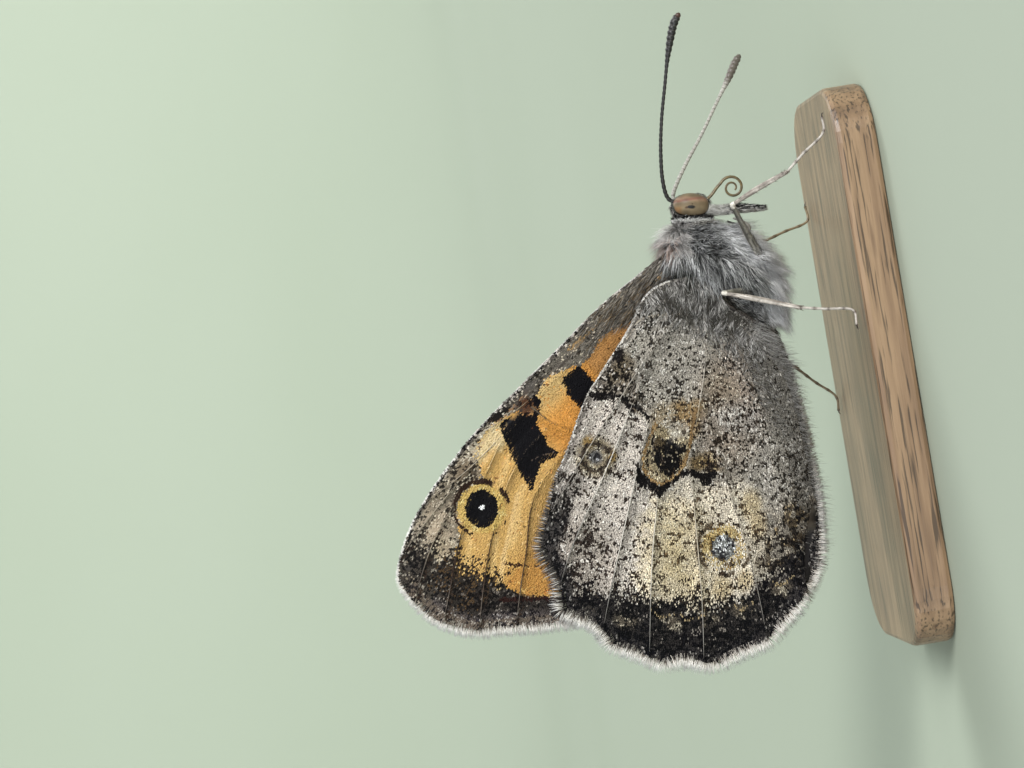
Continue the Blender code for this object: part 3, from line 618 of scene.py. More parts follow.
def make_materials():
    made = {}
    made["scales"] = pigment_material("wing_scales", 0.75, 9.0, 30, Specular_IOR_Level=0.12)
    bark = Nodes("rear_wing_scales", 0.75, Specular_IOR_Level=0.12)
    specks = bark.ramp(bark.noise(15.0, 2.0), ((0.36, (70,) * 3), (0.42, (232,) * 3), (0.60, (255,) * 3)))
    bark.colour(bark.mix(1.0, bark.pigment(), specks, "MULTIPLY"))
    bark.bump(bark.noise(18.0), 0.01, 0.5)
    made["rear_scales"] = bark.material
    made["membrane"] = pigment_material("wing_membrane", 0.6, 5.0, 60, Specular_IOR_Level=0.2)
    made["hair"] = pigment_material("hair", 0.6, 3.0, 40, Specular_IOR_Level=0.2)
    made["skin"] = pigment_material("body_skin", 0.7, 6.0, 90)
    made["leg"] = pigment_material("leg_cuticle", 0.42, 8.0, 70)
    made["antenna"] = pigment_material("feeler", 0.45, 12.0, 60)

    eye = Nodes("eye", 0.45, Specular_IOR_Level=0.2, Coat_Weight=0.05, Coat_Roughness=0.25)
    facets = eye.add("TexVoronoi", {"Vector": eye.place(), "Scale": 16.0}, feature="DISTANCE_TO_EDGE")
    soft = eye.ramp(eye.noise(2.5), ((0.3, (225,) * 3), (0.7, (255,) * 3)))
    eye.colour(eye.mix(1.0, eye.pigment(), soft, "MULTIPLY"))
    eye.bump(facets.outputs["Distance"], 0.006, 0.35)
    made["eye"] = eye.material

    tongue = Nodes("tongue", 0.35)
    rings = tongue.ramp(tongue.noise(6.0), ((0.3, (58, 47, 32)), (0.7, (108, 93, 60))))
    tongue.colour(rings)
    tongue.bump(tongue.noise(20.0), 0.01, 0.6)
    made["tongue"] = tongue.material

    wood = Nodes("stained_wood", 0.42, Coat_Weight=0.15, Coat_Roughness=0.3)
    grain = wood.noise(0.9, 6.0, (0.12, 1.6, 1.6))
    pores = wood.noise(5.0, 2.0, (0.06, 1.5, 1.5))
    tone = wood.ramp(
        grain, ((0.30, (92, 72, 54)), (0.48, (122, 98, 74)), (0.62, (140, 115, 88)), (0.75, (106, 83, 62))),
    )
    dark = wood.ramp(pores, ((0.36, (150,) * 3), (0.46, (255,) * 3)))
    wood.colour(wood.mix(1.0, tone, dark, "MULTIPLY"))
    wood.bump(pores, 0.03, 0.5)
    made["wood"] = wood.material

    floor = Nodes("floor", 0.85)
    floor.colour(floor.ramp(floor.noise(0.004), ((0.3, (150, 160, 142)), (0.7, (156, 165, 149)))))
    made["floor"] = floor.material
    return made


# The body's surface.
BODY_ROWS = smooth_path(BODY_SECTIONS, BODY_STEP)


def body_section(x):
    """Centre height, half width and half height of the body at each place along X."""
    return [np.interp(x, BODY_ROWS[:, 0], BODY_ROWS[:, column]) for column in (1, 2, 3)]


def body_point(x, angle, depth=0.0):
    """A point this deep under the solids' surface. Angle 0 is the left side, a quarter turn the back."""
    centre, half_width, half_height = body_section(x)
    y = np.maximum(half_width - depth, 0.05) * np.cos(angle)
    z = centre + np.maximum(half_height - depth, 0.05) * np.sin(angle)
    return np.stack(np.broadcast_arrays(x, y, z), axis=-1)


def body_normal(x, angle):
    step = 0.05
    along = body_point(x + step, angle) - body_point(x - step, angle)
    round_it = body_point(x, angle + step) - body_point(x, angle - step)
    return unit(np.cross(round_it, along))


def coat_depth(x):
    """How deep the skin lies under the tips of the lying coat."""
    return np.interp(x, (-4.6, 2.0, 3.6, 7.5, 8.3, 8.8, 10.3), (0.10, 0.14, 0.30, 0.32, 0.16, 0.10, 0.08))


def make_body_skin(materials):
    """One skin for abdomen, chest, neck and head."""
    sides = 72
    x = np.arange(BODY_ROWS[0, 0] + 0.12, BODY_ROWS[-1, 0] - 0.06, 0.1)
    angle = math.tau * np.arange(sides) / sides
    grid_x, grid_angle = np.meshgrid(x, angle, indexing="ij")
    rings = 0.05 * np.maximum(0, np.sin(grid_x * math.tau / 0.95)) ** 6 * (grid_x < WAIST_X)
    uneven = 0.06 * mottle(grid_x * 2, grid_angle * 3, 0.7, 5)
    points = body_point(grid_x, grid_angle, coat_depth(grid_x) + rings + uneven)
    dark, pale = linear((74, 70, 66)), linear((118, 112, 104))
    tone = mottle(grid_x, grid_angle * 2, 0.5, 9)[..., None]
    shades = blend(dark, pale, tone)
    ends = body_point(x[[0, -1]], 0.0, 5.0)
    ends[:, 1] = 0
    ends[:, 2] = body_section(x[[0, -1]])[0]
    corners = np.vstack((points.reshape(-1, 3), ends))
    colours = np.vstack((shades.reshape(-1, 3), shades[0, :1], shades[-1, :1]))
    mesh = solid_mesh(place(*corners.T), closed_faces(len(x), sides)[:, ::-1], colours)
    add_piece("body_skin", mesh, materials["skin"], ("head", "thorax", "abdomen"))


def scatter_on_body(count, x_low, x_high, rng):
    """Random places on the body's skin, as many to each square millimetre everywhere."""
    x = rng.uniform(x_low, x_high, count * 3)
    angle = rng.uniform(0, math.tau, count * 3)
    _, half_width, half_height = body_section(x)
    span = half_width * np.abs(np.sin(angle)) + half_height * np.abs(np.cos(angle))
    keep = rng.uniform(0, 2.6, count * 3) < span
    x, angle = x[keep][:count], angle[keep][:count]
    return x, angle


def on_eye(x, y, z, margin=0.0):
    """Whether a place on the head lies under an eye."""
    turn_x = (x - EYE_X) * math.cos(HEAD_TILT) - (z - EYE_Z) * math.sin(HEAD_TILT)
    turn_z = (x - EYE_X) * math.sin(HEAD_TILT) + (z - EYE_Z) * math.cos(HEAD_TILT)
    reach = np.hypot(turn_x / (EYE_HALF_LENGTH + margin), turn_z / (EYE_HALF_HEIGHT + margin))
    return (reach < 1) & (np.abs(y) > 0.2)


def coat(name, x, angle, lie, size, width, lift, roots, tips, material, rng):
    """Hairs rooted on the body's skin. Their colours are screen values."""
    root = body_point(x, angle, coat_depth(x))
    normal = body_normal(x, angle)
    lie = unit(lie - normal * np.sum(lie * normal, axis=1, keepdims=True))
    swirl = 0.5 * mottle(x * 1.3, angle * 2.2, 0.6, 21) + 0.6 * mottle(x * 3, angle * 5, 0.6, 23) - 0.55
    lie = unit(lie + np.cross(normal, lie) * swirl[:, None] * 1.5)
    places = np.stack(((x + 5) / 16, angle / math.tau), axis=-1)
    mesh = hairs(root, lie, normal, size, width, linear(roots), linear(tips), places, lift, rng)
    add_piece(name, mesh, material)


def furs(x, angle, rng, dark, pale, depth=0.45, lean=1.0):
    """Root and tip colours, with whole tufts darker than others."""
    tuft = mottle(x * 1.6, angle * 2.6, 0.5, 22)[:, None]
    tips = hair_shades(len(x), rng, dark, pale, lean)[1] * blend(0.62, 1.22, tuft)
    return tips * depth * blend(0.7, 1.2, tuft), tips


def lie_back(angle, back, drop):
    """A lie that runs backwards and down."""
    return np.tile((-back, 0.0, -drop), (len(angle), 1))


def shoulder_shade(x, angle):
    """1 in the dark tuft where the wings leave the chest."""
    _, _, z = body_point(x, angle).T
    return ease((0.95 - np.hypot(x - 6.35, z - 7.75)) / 0.5) * (mottle(x * 2, angle * 4, 0.5, 24) > 0.25)


def make_thorax_hair(hair, rng):
    """The chest's fur, pale towards the belly, where the paleness is partly the fur's own and partly
    painted back light glowing along the belly's edge.
    """
    x, angle = scatter_on_body(THORAX_HAIRS, WAIST_X, 8.45, rng)
    high = np.sin(angle)
    size = np.interp(high, (-1, -0.4, 0.5, 1), (0.95, 0.66, 0.62, 0.6)) * rng.uniform(0.6, 1.15, len(x))
    lift = np.interp(high, (-1, -0.5, 0.6, 1), (0.75, 0.50, 0.48, 0.75))
    roots, tips = furs(x, angle, rng, (26, 27, 30), (255, 255, 255), 0.34, 0.62)
    # Paler towards the belly: partly pale fur, partly painted back light along the belly's edge.
    pale = ease((-0.15 - high) / 0.6)[:, None]
    roots, tips = blend(roots, rgb(190, 191, 194), pale * 0.6), blend(tips, rgb(255, 255, 255), pale * 0.8)
    brown = ease((high - 0.15) / 0.4) * ease((6.8 - x) / 1.0)
    tips = blend(tips, tips * np.array((0.95, 0.88, 0.78)), brown[:, None])
    shade = shoulder_shade(x, angle)[:, None] * 0.9
    roots, tips = blend(roots, roots * 0.3, shade), blend(tips, rgb(44, 46, 38), shade)
    messy = lie_back(angle, 0.55, 0.85) + rng.normal(0, 0.38, (len(x), 3))
    coat("thorax_hair", x, angle, messy, size, 0.042, lift, roots, tips, hair, rng)


def make_belly_hair(hair, rng):
    """Long white hairs under the chest. Their near-white is partly the hairs' own colour and partly painted
    back light glowing along the belly's edge.
    """
    x, angle = scatter_on_body(24000, 3.3, 8.0, rng)
    low = rng.uniform(0, 1, len(x)) < ease((-0.42 - np.sin(angle)) / 0.5)
    x, angle = x[low][:BELLY_HAIRS], angle[low][:BELLY_HAIRS]
    under = ease((-0.5 - np.sin(angle)) / 0.4)
    # Near-white hairs: partly pale fur, partly painted back light at the belly's edge.
    roots, tips = furs(x, angle, rng, (226, 227, 230), (255, 255, 255), 0.85)
    size = blend(0.9, 1.75, under) * rng.uniform(0.45, 1.1, len(x))
    coat(
        "belly_hair", x, angle, lie_back(angle, 0.85, 0.30), size, 0.026, blend(0.6, 1.4, under), roots,
        tips, hair, rng,
    )


def make_nape_hair(hair, rng):
    """The nape's upright pale tuft. Its pale and pinkish tips are partly the tuft's colour and partly
    painted back light glowing along the nape.
    """
    x, angle = scatter_on_body(16000, 7.0, 9.0, rng)
    top = np.sin(angle) > 0.62
    x, angle = x[top][:NAPE_HAIRS], angle[top][:NAPE_HAIRS]
    # Pale and pinkish tips: partly the tuft's colour, partly painted back light along the nape.
    roots, tips = furs(x, angle, rng, (186, 180, 175), (255, 252, 250), 0.66)
    high = ease((8.1 - x) / 0.5) * (np.sin(angle) > 0.8)
    pink = high[:, None] * (rng.uniform(0, 1, (len(x), 1)) < 0.5)
    tips = blend(tips, tips * np.array((0.96, 0.82, 0.76)), pink)
    size = 1.45 * rng.uniform(0.5, 1.1, len(x))
    lift = np.interp(np.sin(angle), (0.6, 1), (0.55, 1.2))
    coat(
        "nape_hair", x, angle, lie_back(angle, 0.6, 0.25), size, 0.028, lift, roots, tips, hair, rng,
    )


def make_shoulder_hair(hair, rng):
    """Long tufts that lie back over the wings' roots."""
    x, angle = scatter_on_body(14000, 4.9, 7.3, rng)
    high = np.sin(angle)
    front = np.interp(high, (-0.6, 0.1, 0.4, 0.9), (4.9, 5.7, 5.9, 6.4))
    here = (high > -0.55) & (high < 0.93) & (x > front) & (x < front + 1.2)
    x, angle = x[here][:SHOULDER_HAIRS], angle[here][:SHOULDER_HAIRS]
    roots, tips = furs(x, angle, rng, (48, 48, 49), (252, 252, 250), 0.5, 0.8)
    shade = shoulder_shade(x, angle)[:, None] * 0.9
    roots, tips = blend(roots, roots * 0.3, shade), blend(tips, rgb(48, 50, 42), shade)
    size = 1.85 * rng.uniform(0.55, 1.1, len(x))
    coat(
        "shoulder_hair", x, angle, lie_back(angle, 1.0, 0.25), size, 0.050, 1.5, roots, tips, hair,
        rng,
    )


def make_abdomen_hair(hair, rng):
    """The abdomen's short coat."""
    x, angle = scatter_on_body(ABDOMEN_HAIRS, -4.4, WAIST_X + 0.2, rng)
    roots, tips = furs(x, angle, rng, (66, 60, 54), (164, 156, 144), 0.5)
    size = 0.45 * rng.uniform(0.6, 1.15, len(x))
    coat(
        "abdomen_hair", x, angle, lie_back(angle, 1.0, 0.2), size, 0.044, 0.22, roots, tips,
        hair, rng,
    )


def make_head_hair(hair, rng):
    """Short dark and white hairs on the head, clear of the eyes."""
    x, angle = scatter_on_body(HEAD_HAIRS, 8.5, 10.1, rng)
    clear = ~on_eye(*body_point(x, angle, coat_depth(x)).T, margin=-0.03)
    x, angle = x[clear], angle[clear]
    white = rng.uniform(0, 1, (len(x), 1)) < np.interp(
        x, (8.6, 8.8, 9.1, 9.5), (0.4, 0.75, 0.6, 0.35),
    )[:, None]
    dark_roots, dark_tips = furs(x, angle, rng, (40, 38, 36), (124, 118, 110), 0.6)
    tips = np.where(white, rgb(232, 228, 220), dark_tips)
    roots = np.where(white, rgb(160, 156, 150), dark_roots)
    size = np.interp(x, (8.5, 9.1, 9.7, 10.1), (0.75, 0.42, 0.28, 0.14)) * rng.uniform(0.6, 1.15, len(x))
    coat(
        "head_hair", x, angle, lie_back(angle, 0.5, 0.35), size, 0.026, 0.75, roots, tips, hair, rng,
    )


def make_collar(hair, rng):
    """A short upright row of black and white scales along the rear edge of each eye."""
    count = COLLAR_HAIRS
    for letter, side in SIDES:
        high = rng.uniform(-1, 1, count)
        rearward = rng.uniform(0, 1, count)
        x = EYE_X - EYE_HALF_LENGTH - 0.02 - 0.34 * rearward + high * EYE_HALF_HEIGHT * math.sin(HEAD_TILT)
        z = EYE_Z + high * (EYE_HALF_HEIGHT + 0.02)
        y = side * (EYE_SEAT + 0.14 - 0.16 * rearward - 0.30 * np.abs(high) ** 3)
        root = np.stack((x, y, z), axis=-1)
        lie = np.tile((0.35, 0.0, -0.25), (count, 1)) + rng.normal(0, 0.25, (count, 3))
        normal = unit(np.stack((np.full(count, -0.25), np.full(count, side * 1.0), 0.4 * high), axis=-1))
        white = rng.uniform(0, 1, (count, 1)) < np.where(
            (rearward < 0.30) | (rearward > 0.85), 0.02, 0.92,
        )[:, None]
        tips = np.where(white, rgb(250, 249, 246), rgb(14, 13, 13))
        size = 0.27 * rng.uniform(0.7, 1.2, count)
        places = np.stack((0.86 + 0.05 * rearward, 0.5 + 0.4 * high), axis=-1)
        mesh = hairs(root, lie, normal, size, 0.042, linear(tips * 0.8), linear(tips), places, 1.1, rng)
        add_piece(f"collar_{letter}", mesh, hair)


def make_body_hair(materials):
    """All fur on the body, and the collar."""
    rng = np.random.default_rng(SEED)
    for make in (
        make_thorax_hair, make_belly_hair, make_nape_hair, make_shoulder_hair, make_abdomen_hair,
        make_head_hair,
        make_collar,
    ):
        make(materials["hair"], rng)


def make_eyes(materials):
    """Domes set into the head, tan with a pinkish brown band in front and a dark spot in the middle. The
    dark spot is a painted false pupil, the dark patch that the facets show where they face the viewer.
    """
    rows, sides = 26, 56
    seat = EYE_SEAT - 0.12
    for letter, side in SIDES:
        polar = np.linspace(0, math.pi / 2, rows)[:, None]
        angle = (math.tau * np.arange(sides) / sides)[None, :]
        # The rear half is squarer than an oval, so that the eye's rear edge is almost straight.
        forward = np.cos(angle)
        forward = np.where(forward < 0, -(np.abs(forward) ** 0.66), forward)
        local_x = EYE_HALF_LENGTH * np.sin(polar) * forward
        local_z = EYE_HALF_HEIGHT * np.sin(polar) * np.sin(angle)
        bulge = EYE_BULGE * np.cos(polar) ** 0.9 + 0 * angle
        x = EYE_X + local_x * math.cos(HEAD_TILT) + local_z * math.sin(HEAD_TILT)
        z = EYE_Z - local_x * math.sin(HEAD_TILT) + local_z * math.cos(HEAD_TILT)
        y = side * (seat + bulge)
        front, high = local_x / EYE_HALF_LENGTH, local_z / EYE_HALF_HEIGHT
        tone = np.tile(rgb(112, 97, 76), (rows, sides, 1))
        tints = (
            ((134, 106, 88), ease((front - 0.1) / 0.3) * ease((0.75 - front) / 0.2) * 0.8),
            ((116, 78, 66), ease((0.14 - np.abs(front - 0.42 + 0.25 * high)) / 0.1) * 0.7),
            ((124, 110, 86), ease((0.05 - front) / 0.4) * 0.6),
            ((128, 88, 50), ease((high - 0.45) / 0.3) * ease((-0.1 - front) / 0.3) * 0.6),
        )
        for colour, mask in tints:
            tone = tint(tone, colour, mask)
        tone = tone * blend(0.85, 1.1, mottle(front, high, 0.35, 81)[..., None])
        # The dark spot is a painted false pupil: real facets show it only where they face the viewer.
        spot = np.hypot((front + 0.26) * 1.25, (high - 0.06) * 0.85)
        tone = tint(tone, (10, 7, 5), ease((0.21 - spot) / 0.07))
        small = np.hypot(front + 0.30, high - 0.30)
        tone = tint(tone, (60, 40, 26), ease((0.13 - small) / 0.08) * 0.8)
        rim = ease((polar - np.where(forward < 0, 1.16, 1.30)) / 0.14)
        tone = linear(tint(tone, (26, 21, 18), rim))
        points = np.stack(np.broadcast_arrays(x, y, z), axis=-1).reshape(-1, 3)
        corners = np.vstack((points, np.array([[EYE_X, side * seat, EYE_Z]])))
        shades = np.vstack((tone.reshape(-1, 3), tone.reshape(-1, 3)[-1:]))
        edge = (rows - 1) * sides + np.arange(sides)
        back = np.c_[edge, np.full(sides, rows * sides), np.roll(edge, -1)]
        triangles = np.vstack((tube_faces(rows, sides)[:, ::-1], back))
        if side < 0:
            triangles = triangles[:, ::-1]
        mesh = solid_mesh(place(*corners.T), triangles, shades)
        add_piece(f"eye_{letter}_domed", mesh, materials["eye"], (f"eye_{letter}",))


def mirrored(points, side):
    """The points with their distance from the middle plane put on one side."""
    return [(x, side * y, z) for x, y, z in points]


def make_antennae(materials):
    """Ringed shafts that swell into a club. The right one is black and the left one pale."""
    for letter, side, line in (("R", -1, ANTENNA_R), ("L", 1, ANTENNA_L)):
        path = smooth_path(mirrored(line, side), 0.045)
        count = len(path)
        share = np.linspace(0, 1, count)
        shaft = 0.105 - 0.02 * ease(share / 0.5)
        club = ease((share - 0.70) / 0.20) * (1 - 0.62 * ease((share - 0.95) / 0.05))
        radii = shaft + 0.115 * club
        ring = (np.arange(count) % 6) / 6
        radii = radii * (1 + 0.10 * np.sin(ring * math.tau))
        radii[-3:] *= (0.8, 0.55, 0.2)
        if letter == "R":
            tone = blend(linear((24, 22, 22)), linear((74, 70, 66)), (ring > 0.8)[:, None] * 0.7)
            tone = blend(tone, linear((70, 40, 28)), ease((share - 0.965) / 0.02)[:, None])
        else:
            tone = blend(linear((176, 172, 164)), linear((120, 114, 106)), (ring > 0.7)[:, None])
            tone = blend(tone, linear((96, 88, 80)), ease((share - 0.75) / 0.1)[:, None])
        points, triangles, shades = sweep(path, radii, tone, 14)
        mesh = solid_mesh(points, triangles, shades)
        add_piece(f"antenna_{letter}_ringed", mesh, materials["antenna"], (f"antenna_{letter}",))


def make_proboscis(materials):
    """The tongue runs down from the face and rolls up in a turn and a half."""
    centre_x, centre_z = PROBOSCIS_CENTRE
    steps = 110
    share = np.linspace(0, 1, steps)
    angle = math.radians(60.0) - share * math.radians(560.0)
    reach = blend(0.64, 0.17, share**0.8)
    coil = np.stack(
        (centre_x + reach * np.cos(angle), 0.05 * share, centre_z + reach * np.sin(angle)), axis=-1,
    )
    root = smooth_path(PROBOSCIS_ROOT + (tuple(coil[0]),), 0.05)
    path = np.vstack((root[:-1], coil))
    radii = np.linspace(0.085, 0.045, len(path))
    radii = radii * (1 + 0.05 * np.sin(np.arange(len(path)) * 1.6))
    points, triangles, shades = sweep(path, radii, linear((100, 84, 52)), 10, 1.25)
    add_piece(
        "proboscis_coiled", solid_mesh(points, triangles, shades), materials["tongue"],
        ("proboscis",),
    )


def make_palps(materials):
    """Slim mouth feelers under the face, with a white base and long black and white bristles."""
    rng = np.random.default_rng(SEED + 1)
    for letter, side in SIDES:
        path = smooth_path(mirrored(PALP, side), 0.1)
        share = np.linspace(0, 1, len(path))
        radii = blend(0.16, 0.05, ease((share - 0.5) / 0.5))
        points, triangles, shades = sweep(path, radii, linear((120, 116, 110)), 12)
        mesh = solid_mesh(points, triangles, shades)
        add_piece(f"palp_{letter}_core", mesh, materials["skin"], (f"palp_{letter}",))
        count = PALP_HAIRS
        where = rng.uniform(0, 1, count) ** 1.1
        along = where * (len(path) - 1)
        low = np.minimum(along.astype(int), len(path) - 2)
        centre = path[low] + (path[low + 1] - path[low]) * (along - low)[:, None]
        run = unit(path[low + 1] - path[low])
        turn = rng.uniform(0, math.tau, count)
        first = unit(np.cross(run, (0.0, 1.0, 0.0)))
        second = np.cross(run, first)
        normal = first * np.cos(turn)[:, None] + second * np.sin(turn)[:, None]
        root = centre + normal * np.interp(where, share, radii)[:, None] * 0.9
        # Black bristles stand forwards and to the side, and the base and rear are white.
        ahead = normal[:, 0]
        share_black = np.interp(ahead, (-0.6, 0.1, 1), (0.25, 0.65, 0.9)) * ease((where - 0.26) / 0.2)
        black = (rng.uniform(0, 1, count) < share_black)[:, None]
        tips = np.where(black, rgb(30, 29, 30), rgb(242, 240, 235))
        size = blend(0.50, 0.30, where) * rng.uniform(0.6, 1.15, count)
        lift = np.where(black[:, 0], 0.40, 0.34)
        places = np.stack((0.05 + where * 0.9, turn / math.tau), axis=-1)
        mesh = hairs(root, run, normal, size, 0.028, linear(tips * 0.75), linear(tips), places, lift, rng)
        add_piece(f"palp_{letter}_bristles", mesh, materials["hair"])


def limb(path, radii, pale, dark, rng, lined=0.5):
    """A limb bar of pale scales with dark streaks along it."""
    count = len(path)
    wave = mottle(np.arange(count) * 0.13, np.zeros(count), 0.5, int(rng.integers(1, 99)))
    tone = blend(rgb(*pale), rgb(*dark), (0.55 * wave)[:, None])
    points, triangles, shades = sweep(path, radii, tone, LIMB_SIDES)
    stripes = mottle(
        np.repeat(np.arange(count) * 0.09, LIMB_SIDES), np.tile(np.arange(LIMB_SIDES) * 1.7, count), 0.5,
        83,
    )
    mask = ease((stripes - 0.52) / 0.12)[:, None] * lined
    body = len(stripes)
    shades[:body] = blend(shades[:body], rgb(*dark), mask)
    return points, triangles, linear(shades)


def spurs(knee, ankle, dark, rng):
    """Two spurs at the ankle and short bristles along the shin."""
    parts = []
    shin = unit(ankle - knee)
    flank = unit(np.cross(shin, (0.2, 0.1, 1.0)))
    for sign in (-1, 1):
        middle = blend(knee, ankle, 0.99) + flank * sign * 0.12
        spur = [blend(knee, ankle, 0.93), middle, ankle + shin * 0.16 + flank * sign * 0.20]
        path = smooth_path(spur, 0.05)
        parts.append(sweep(path, np.linspace(0.045, 0.010, len(path)), linear(dark), 8))
    for _ in range(SHIN_BRISTLES):
        at = blend(knee, ankle, rng.uniform(0.08, 0.96))
        out = unit(np.cross(shin, rng.normal(0, 1, 3)))
        path = np.array([at + out * 0.08, at + out * 0.14 + shin * 0.07, at + out * 0.18 + shin * 0.16])
        parts.append(sweep(path, np.array((0.015, 0.012, 0.004)), linear(dark), 5))
    return parts


def claws(heel, toe):
    """Two hooks at the end of the foot."""
    parts = []
    step = unit(toe - heel)
    beside = unit(np.cross(step, (0, 0, 1)))
    for sign in (-1, 1):
        hook = toe + step * 0.2 + beside * sign * 0.10 + (0, 0, -0.06)
        path = smooth_path((toe, toe + step * 0.12 + beside * sign * 0.06, hook), 0.03)
        parts.append(sweep(path, np.linspace(0.035, 0.008, len(path)), linear((50, 34, 24)), 8))
    return parts


def make_legs(materials):
    """Four walking legs with spurs, jointed feet and claws, and two small folded front legs."""
    rng = np.random.default_rng(SEED + 2)
    drop = GAP - 0.02
    for name, line in LEGS.items():
        side = -1 if name.endswith("R") else 1
        pale, dark, thigh_pale, thigh_dark = LEG_TONES[name[-1]]
        hip, knee, ankle, heel, toe = [np.array(point) for point in mirrored(line, side)]
        heel[2] -= drop - 0.04
        toe[2] -= drop - 0.02
        femur_path = smooth_path((hip, blend(hip, knee, 0.5) + (0.04, 0, 0.06), knee), 0.12)
        share = np.linspace(0, 1, len(femur_path))
        femur = limb(
            femur_path, 0.215 - 0.11 * share + 0.02 * np.sin(share * math.pi), thigh_pale, thigh_dark, rng,
            0.8,
        )
        tibia_path = smooth_path((knee, blend(knee, ankle, 0.5) + (0.03, 0, 0.03), ankle), 0.1)
        share = np.linspace(0, 1, len(tibia_path))
        tibia = limb(
            tibia_path, 0.095 + 0.045 * ease(share / 0.4) - 0.035 * ease((share - 0.5) / 0.5), pale, dark,
            rng,
        )
        cap = smooth_path((blend(knee, hip, 0.05), knee, blend(knee, ankle, 0.05)), 0.04)
        knee_ball = sweep(cap, 0.115, linear((222, 216, 204)), LIMB_SIDES)
        foot_path = smooth_path((ankle, blend(ankle, heel, 0.5) + (0, 0, 0.05), heel, toe), 0.05)
        share = np.linspace(0, 1, len(foot_path))
        joints = np.abs(((share * 5) % 1) - 0.5) * 2
        tone = blend(rgb(*pale) * 0.85, rgb(*dark), (joints**4)[:, None])
        foot = sweep(foot_path, 0.070 + 0.022 * joints**3 - 0.015 * share, linear(tone), LIMB_SIDES)
        parts = [femur, tibia, knee_ball, foot]
        parts += spurs(knee, ankle, dark, rng) + claws(heel, toe)
        stem, letter = name.split("_")
        nodes = [f"{stem}_{part}_{letter}" for part in ("femur", "tibia", "tarsus")]
        points, triangles, shades = joined(parts)
        add_piece(f"{name}_fine", solid_mesh(points, triangles, shades), materials["leg"], nodes)
        make_thigh_hair(f"{name}_hair", hip, knee, materials["hair"], rng)
    for letter, side in SIDES:
        path = smooth_path(mirrored(FORELEG, side), 0.08)
        share = np.linspace(0, 1, len(path))
        part = limb(path, blend(0.13, 0.05, ease((share - 0.5) / 0.5)), (190, 186, 178), (70, 66, 62), rng)
        add_piece(
            f"foreleg_{letter}_fine", solid_mesh(*part), materials["leg"], (f"foreleg_{letter}",),
        )


def make_thigh_hair(name, hip, knee, hair, rng):
    """Flat-lying hairs on a leg's upper part, thick at its root and thin at the knee."""
    count = THIGH_HAIRS
    share = rng.uniform(0.05, 1, count) ** 1.5
    run = unit(knee - hip)
    first = unit(np.cross(run, (0.3, 0.2, 1.0)))
    second = np.cross(run, first)
    turn = rng.uniform(0, math.tau, count)
    normal = np.outer(np.cos(turn), first) + np.outer(np.sin(turn), second)
    root = blend(hip, knee, share[:, None]) + normal * blend(0.19, 0.09, share)[:, None]
    size = blend(0.55, 0.16, ease(share / 0.7)) * rng.uniform(0.6, 1.2, count)
    roots, tips = hair_shades(count, rng, (58, 55, 52), (196, 193, 188), 1.2)
    places = np.stack((0.05 + 0.9 * share, turn / math.tau), axis=-1)
    mesh = hairs(
        root, np.tile(run, (count, 1)), normal, size, 0.024, linear(roots), linear(tips), places, 0.2, rng,
    )
    add_piece(name, mesh, hair)


# The wings' surfaces, in the same shape as the solids' middle sheets.
SLEEVE = np.array(
    list(SLEEVE_TAIL)
    + [(x, z, w + WING_CLEARANCE, h + WING_CLEARANCE) for x, z, w, h in BODY_ROWS if x > SLEEVE_FROM]
)


def forewing_level(x, z):
    """The front wing's distance from the middle plane."""
    hinge_x, hinge_z = FOREWING["hinge"]
    away = np.hypot(x - hinge_x, z - hinge_z) / FOREWING["root_reach"]
    return FOREWING["level"] + (FOREWING["root_level"] - FOREWING["level"]) * np.exp(-(away**2))


def hindwing_level(x, z):
    """The rear wing's distance from the middle plane: over the front wing, and bowed around the body."""
    hinge_x, hinge_z = HINDWING["hinge"]
    centre, half_width, half_height = (
        np.interp(x, SLEEVE[:, 0], SLEEVE[:, column]) for column in (1, 2, 3)
    )
    away = np.hypot(x - hinge_x, z - hinge_z - 1.5) / HINDWING["root_reach"]
    level = blend(HINDWING["level"], LOWER_LEVEL, ease((centre - z) / half_height))
    level = level + (HINDWING["root_level"] - HINDWING["level"]) * np.exp(-(away**2))
    bow = half_width * np.sqrt(np.maximum(0.0, 1 - ((z - centre) / half_height) ** 2))
    return 0.5 * (level + bow + np.hypot(level - bow, LEVEL_BLEND))


class Wing:
    """One kind of wing: its outline, skin edge and veins in its own plane, and its bent surface."""

    def __init__(self, data, level):
        self.data = data
        self.level = level
        self.outline = smooth_path(data["outline"], MARGIN_STEP, closed=True)
        run = np.roll(self.outline[:, :2], -1, axis=0) - np.roll(self.outline[:, :2], 1, axis=0)
        self.outward = unit(np.c_[run[:, 1], -run[:, 0]])
        self.fringe = np.maximum(self.outline[:, 2], 0.0)
        self.edge = self.outline[:, :2] - self.outward * self.fringe[:, None]
        self.rim = np.vstack((self.outline, self.outline[:1]))
        self.veins = {name: smooth_path(points, 0.3) for name, points in data["veins"].items()}

    def vein_distance(self, p, q):
        best = np.full(np.shape(p), 1e9)
        for path in self.veins.values():
            best = np.minimum(best, path_distance(p, q, path)[0])
        return best

    def relief(self, gap):
        """The veins stand up and the skin between them is drawn in."""
        return VEIN_RISE * np.clip(1 - gap / 0.14, 0, 1) - FOLD_DEPTH * ease(gap / FOLD_REACH)

    def point(self, p, q, side, lift):
        """Points on the wing's surface on one side of the insect, raised outwards by lift."""
        hinge, along, across = self.data["hinge"], self.data["along"], self.data["across"]
        x = hinge[0] + along[0] * p + across[0] * q
        z = hinge[1] + along[1] * p + across[1] * q
        return np.stack((x, side * (self.level(x, z) + lift), z), axis=-1)


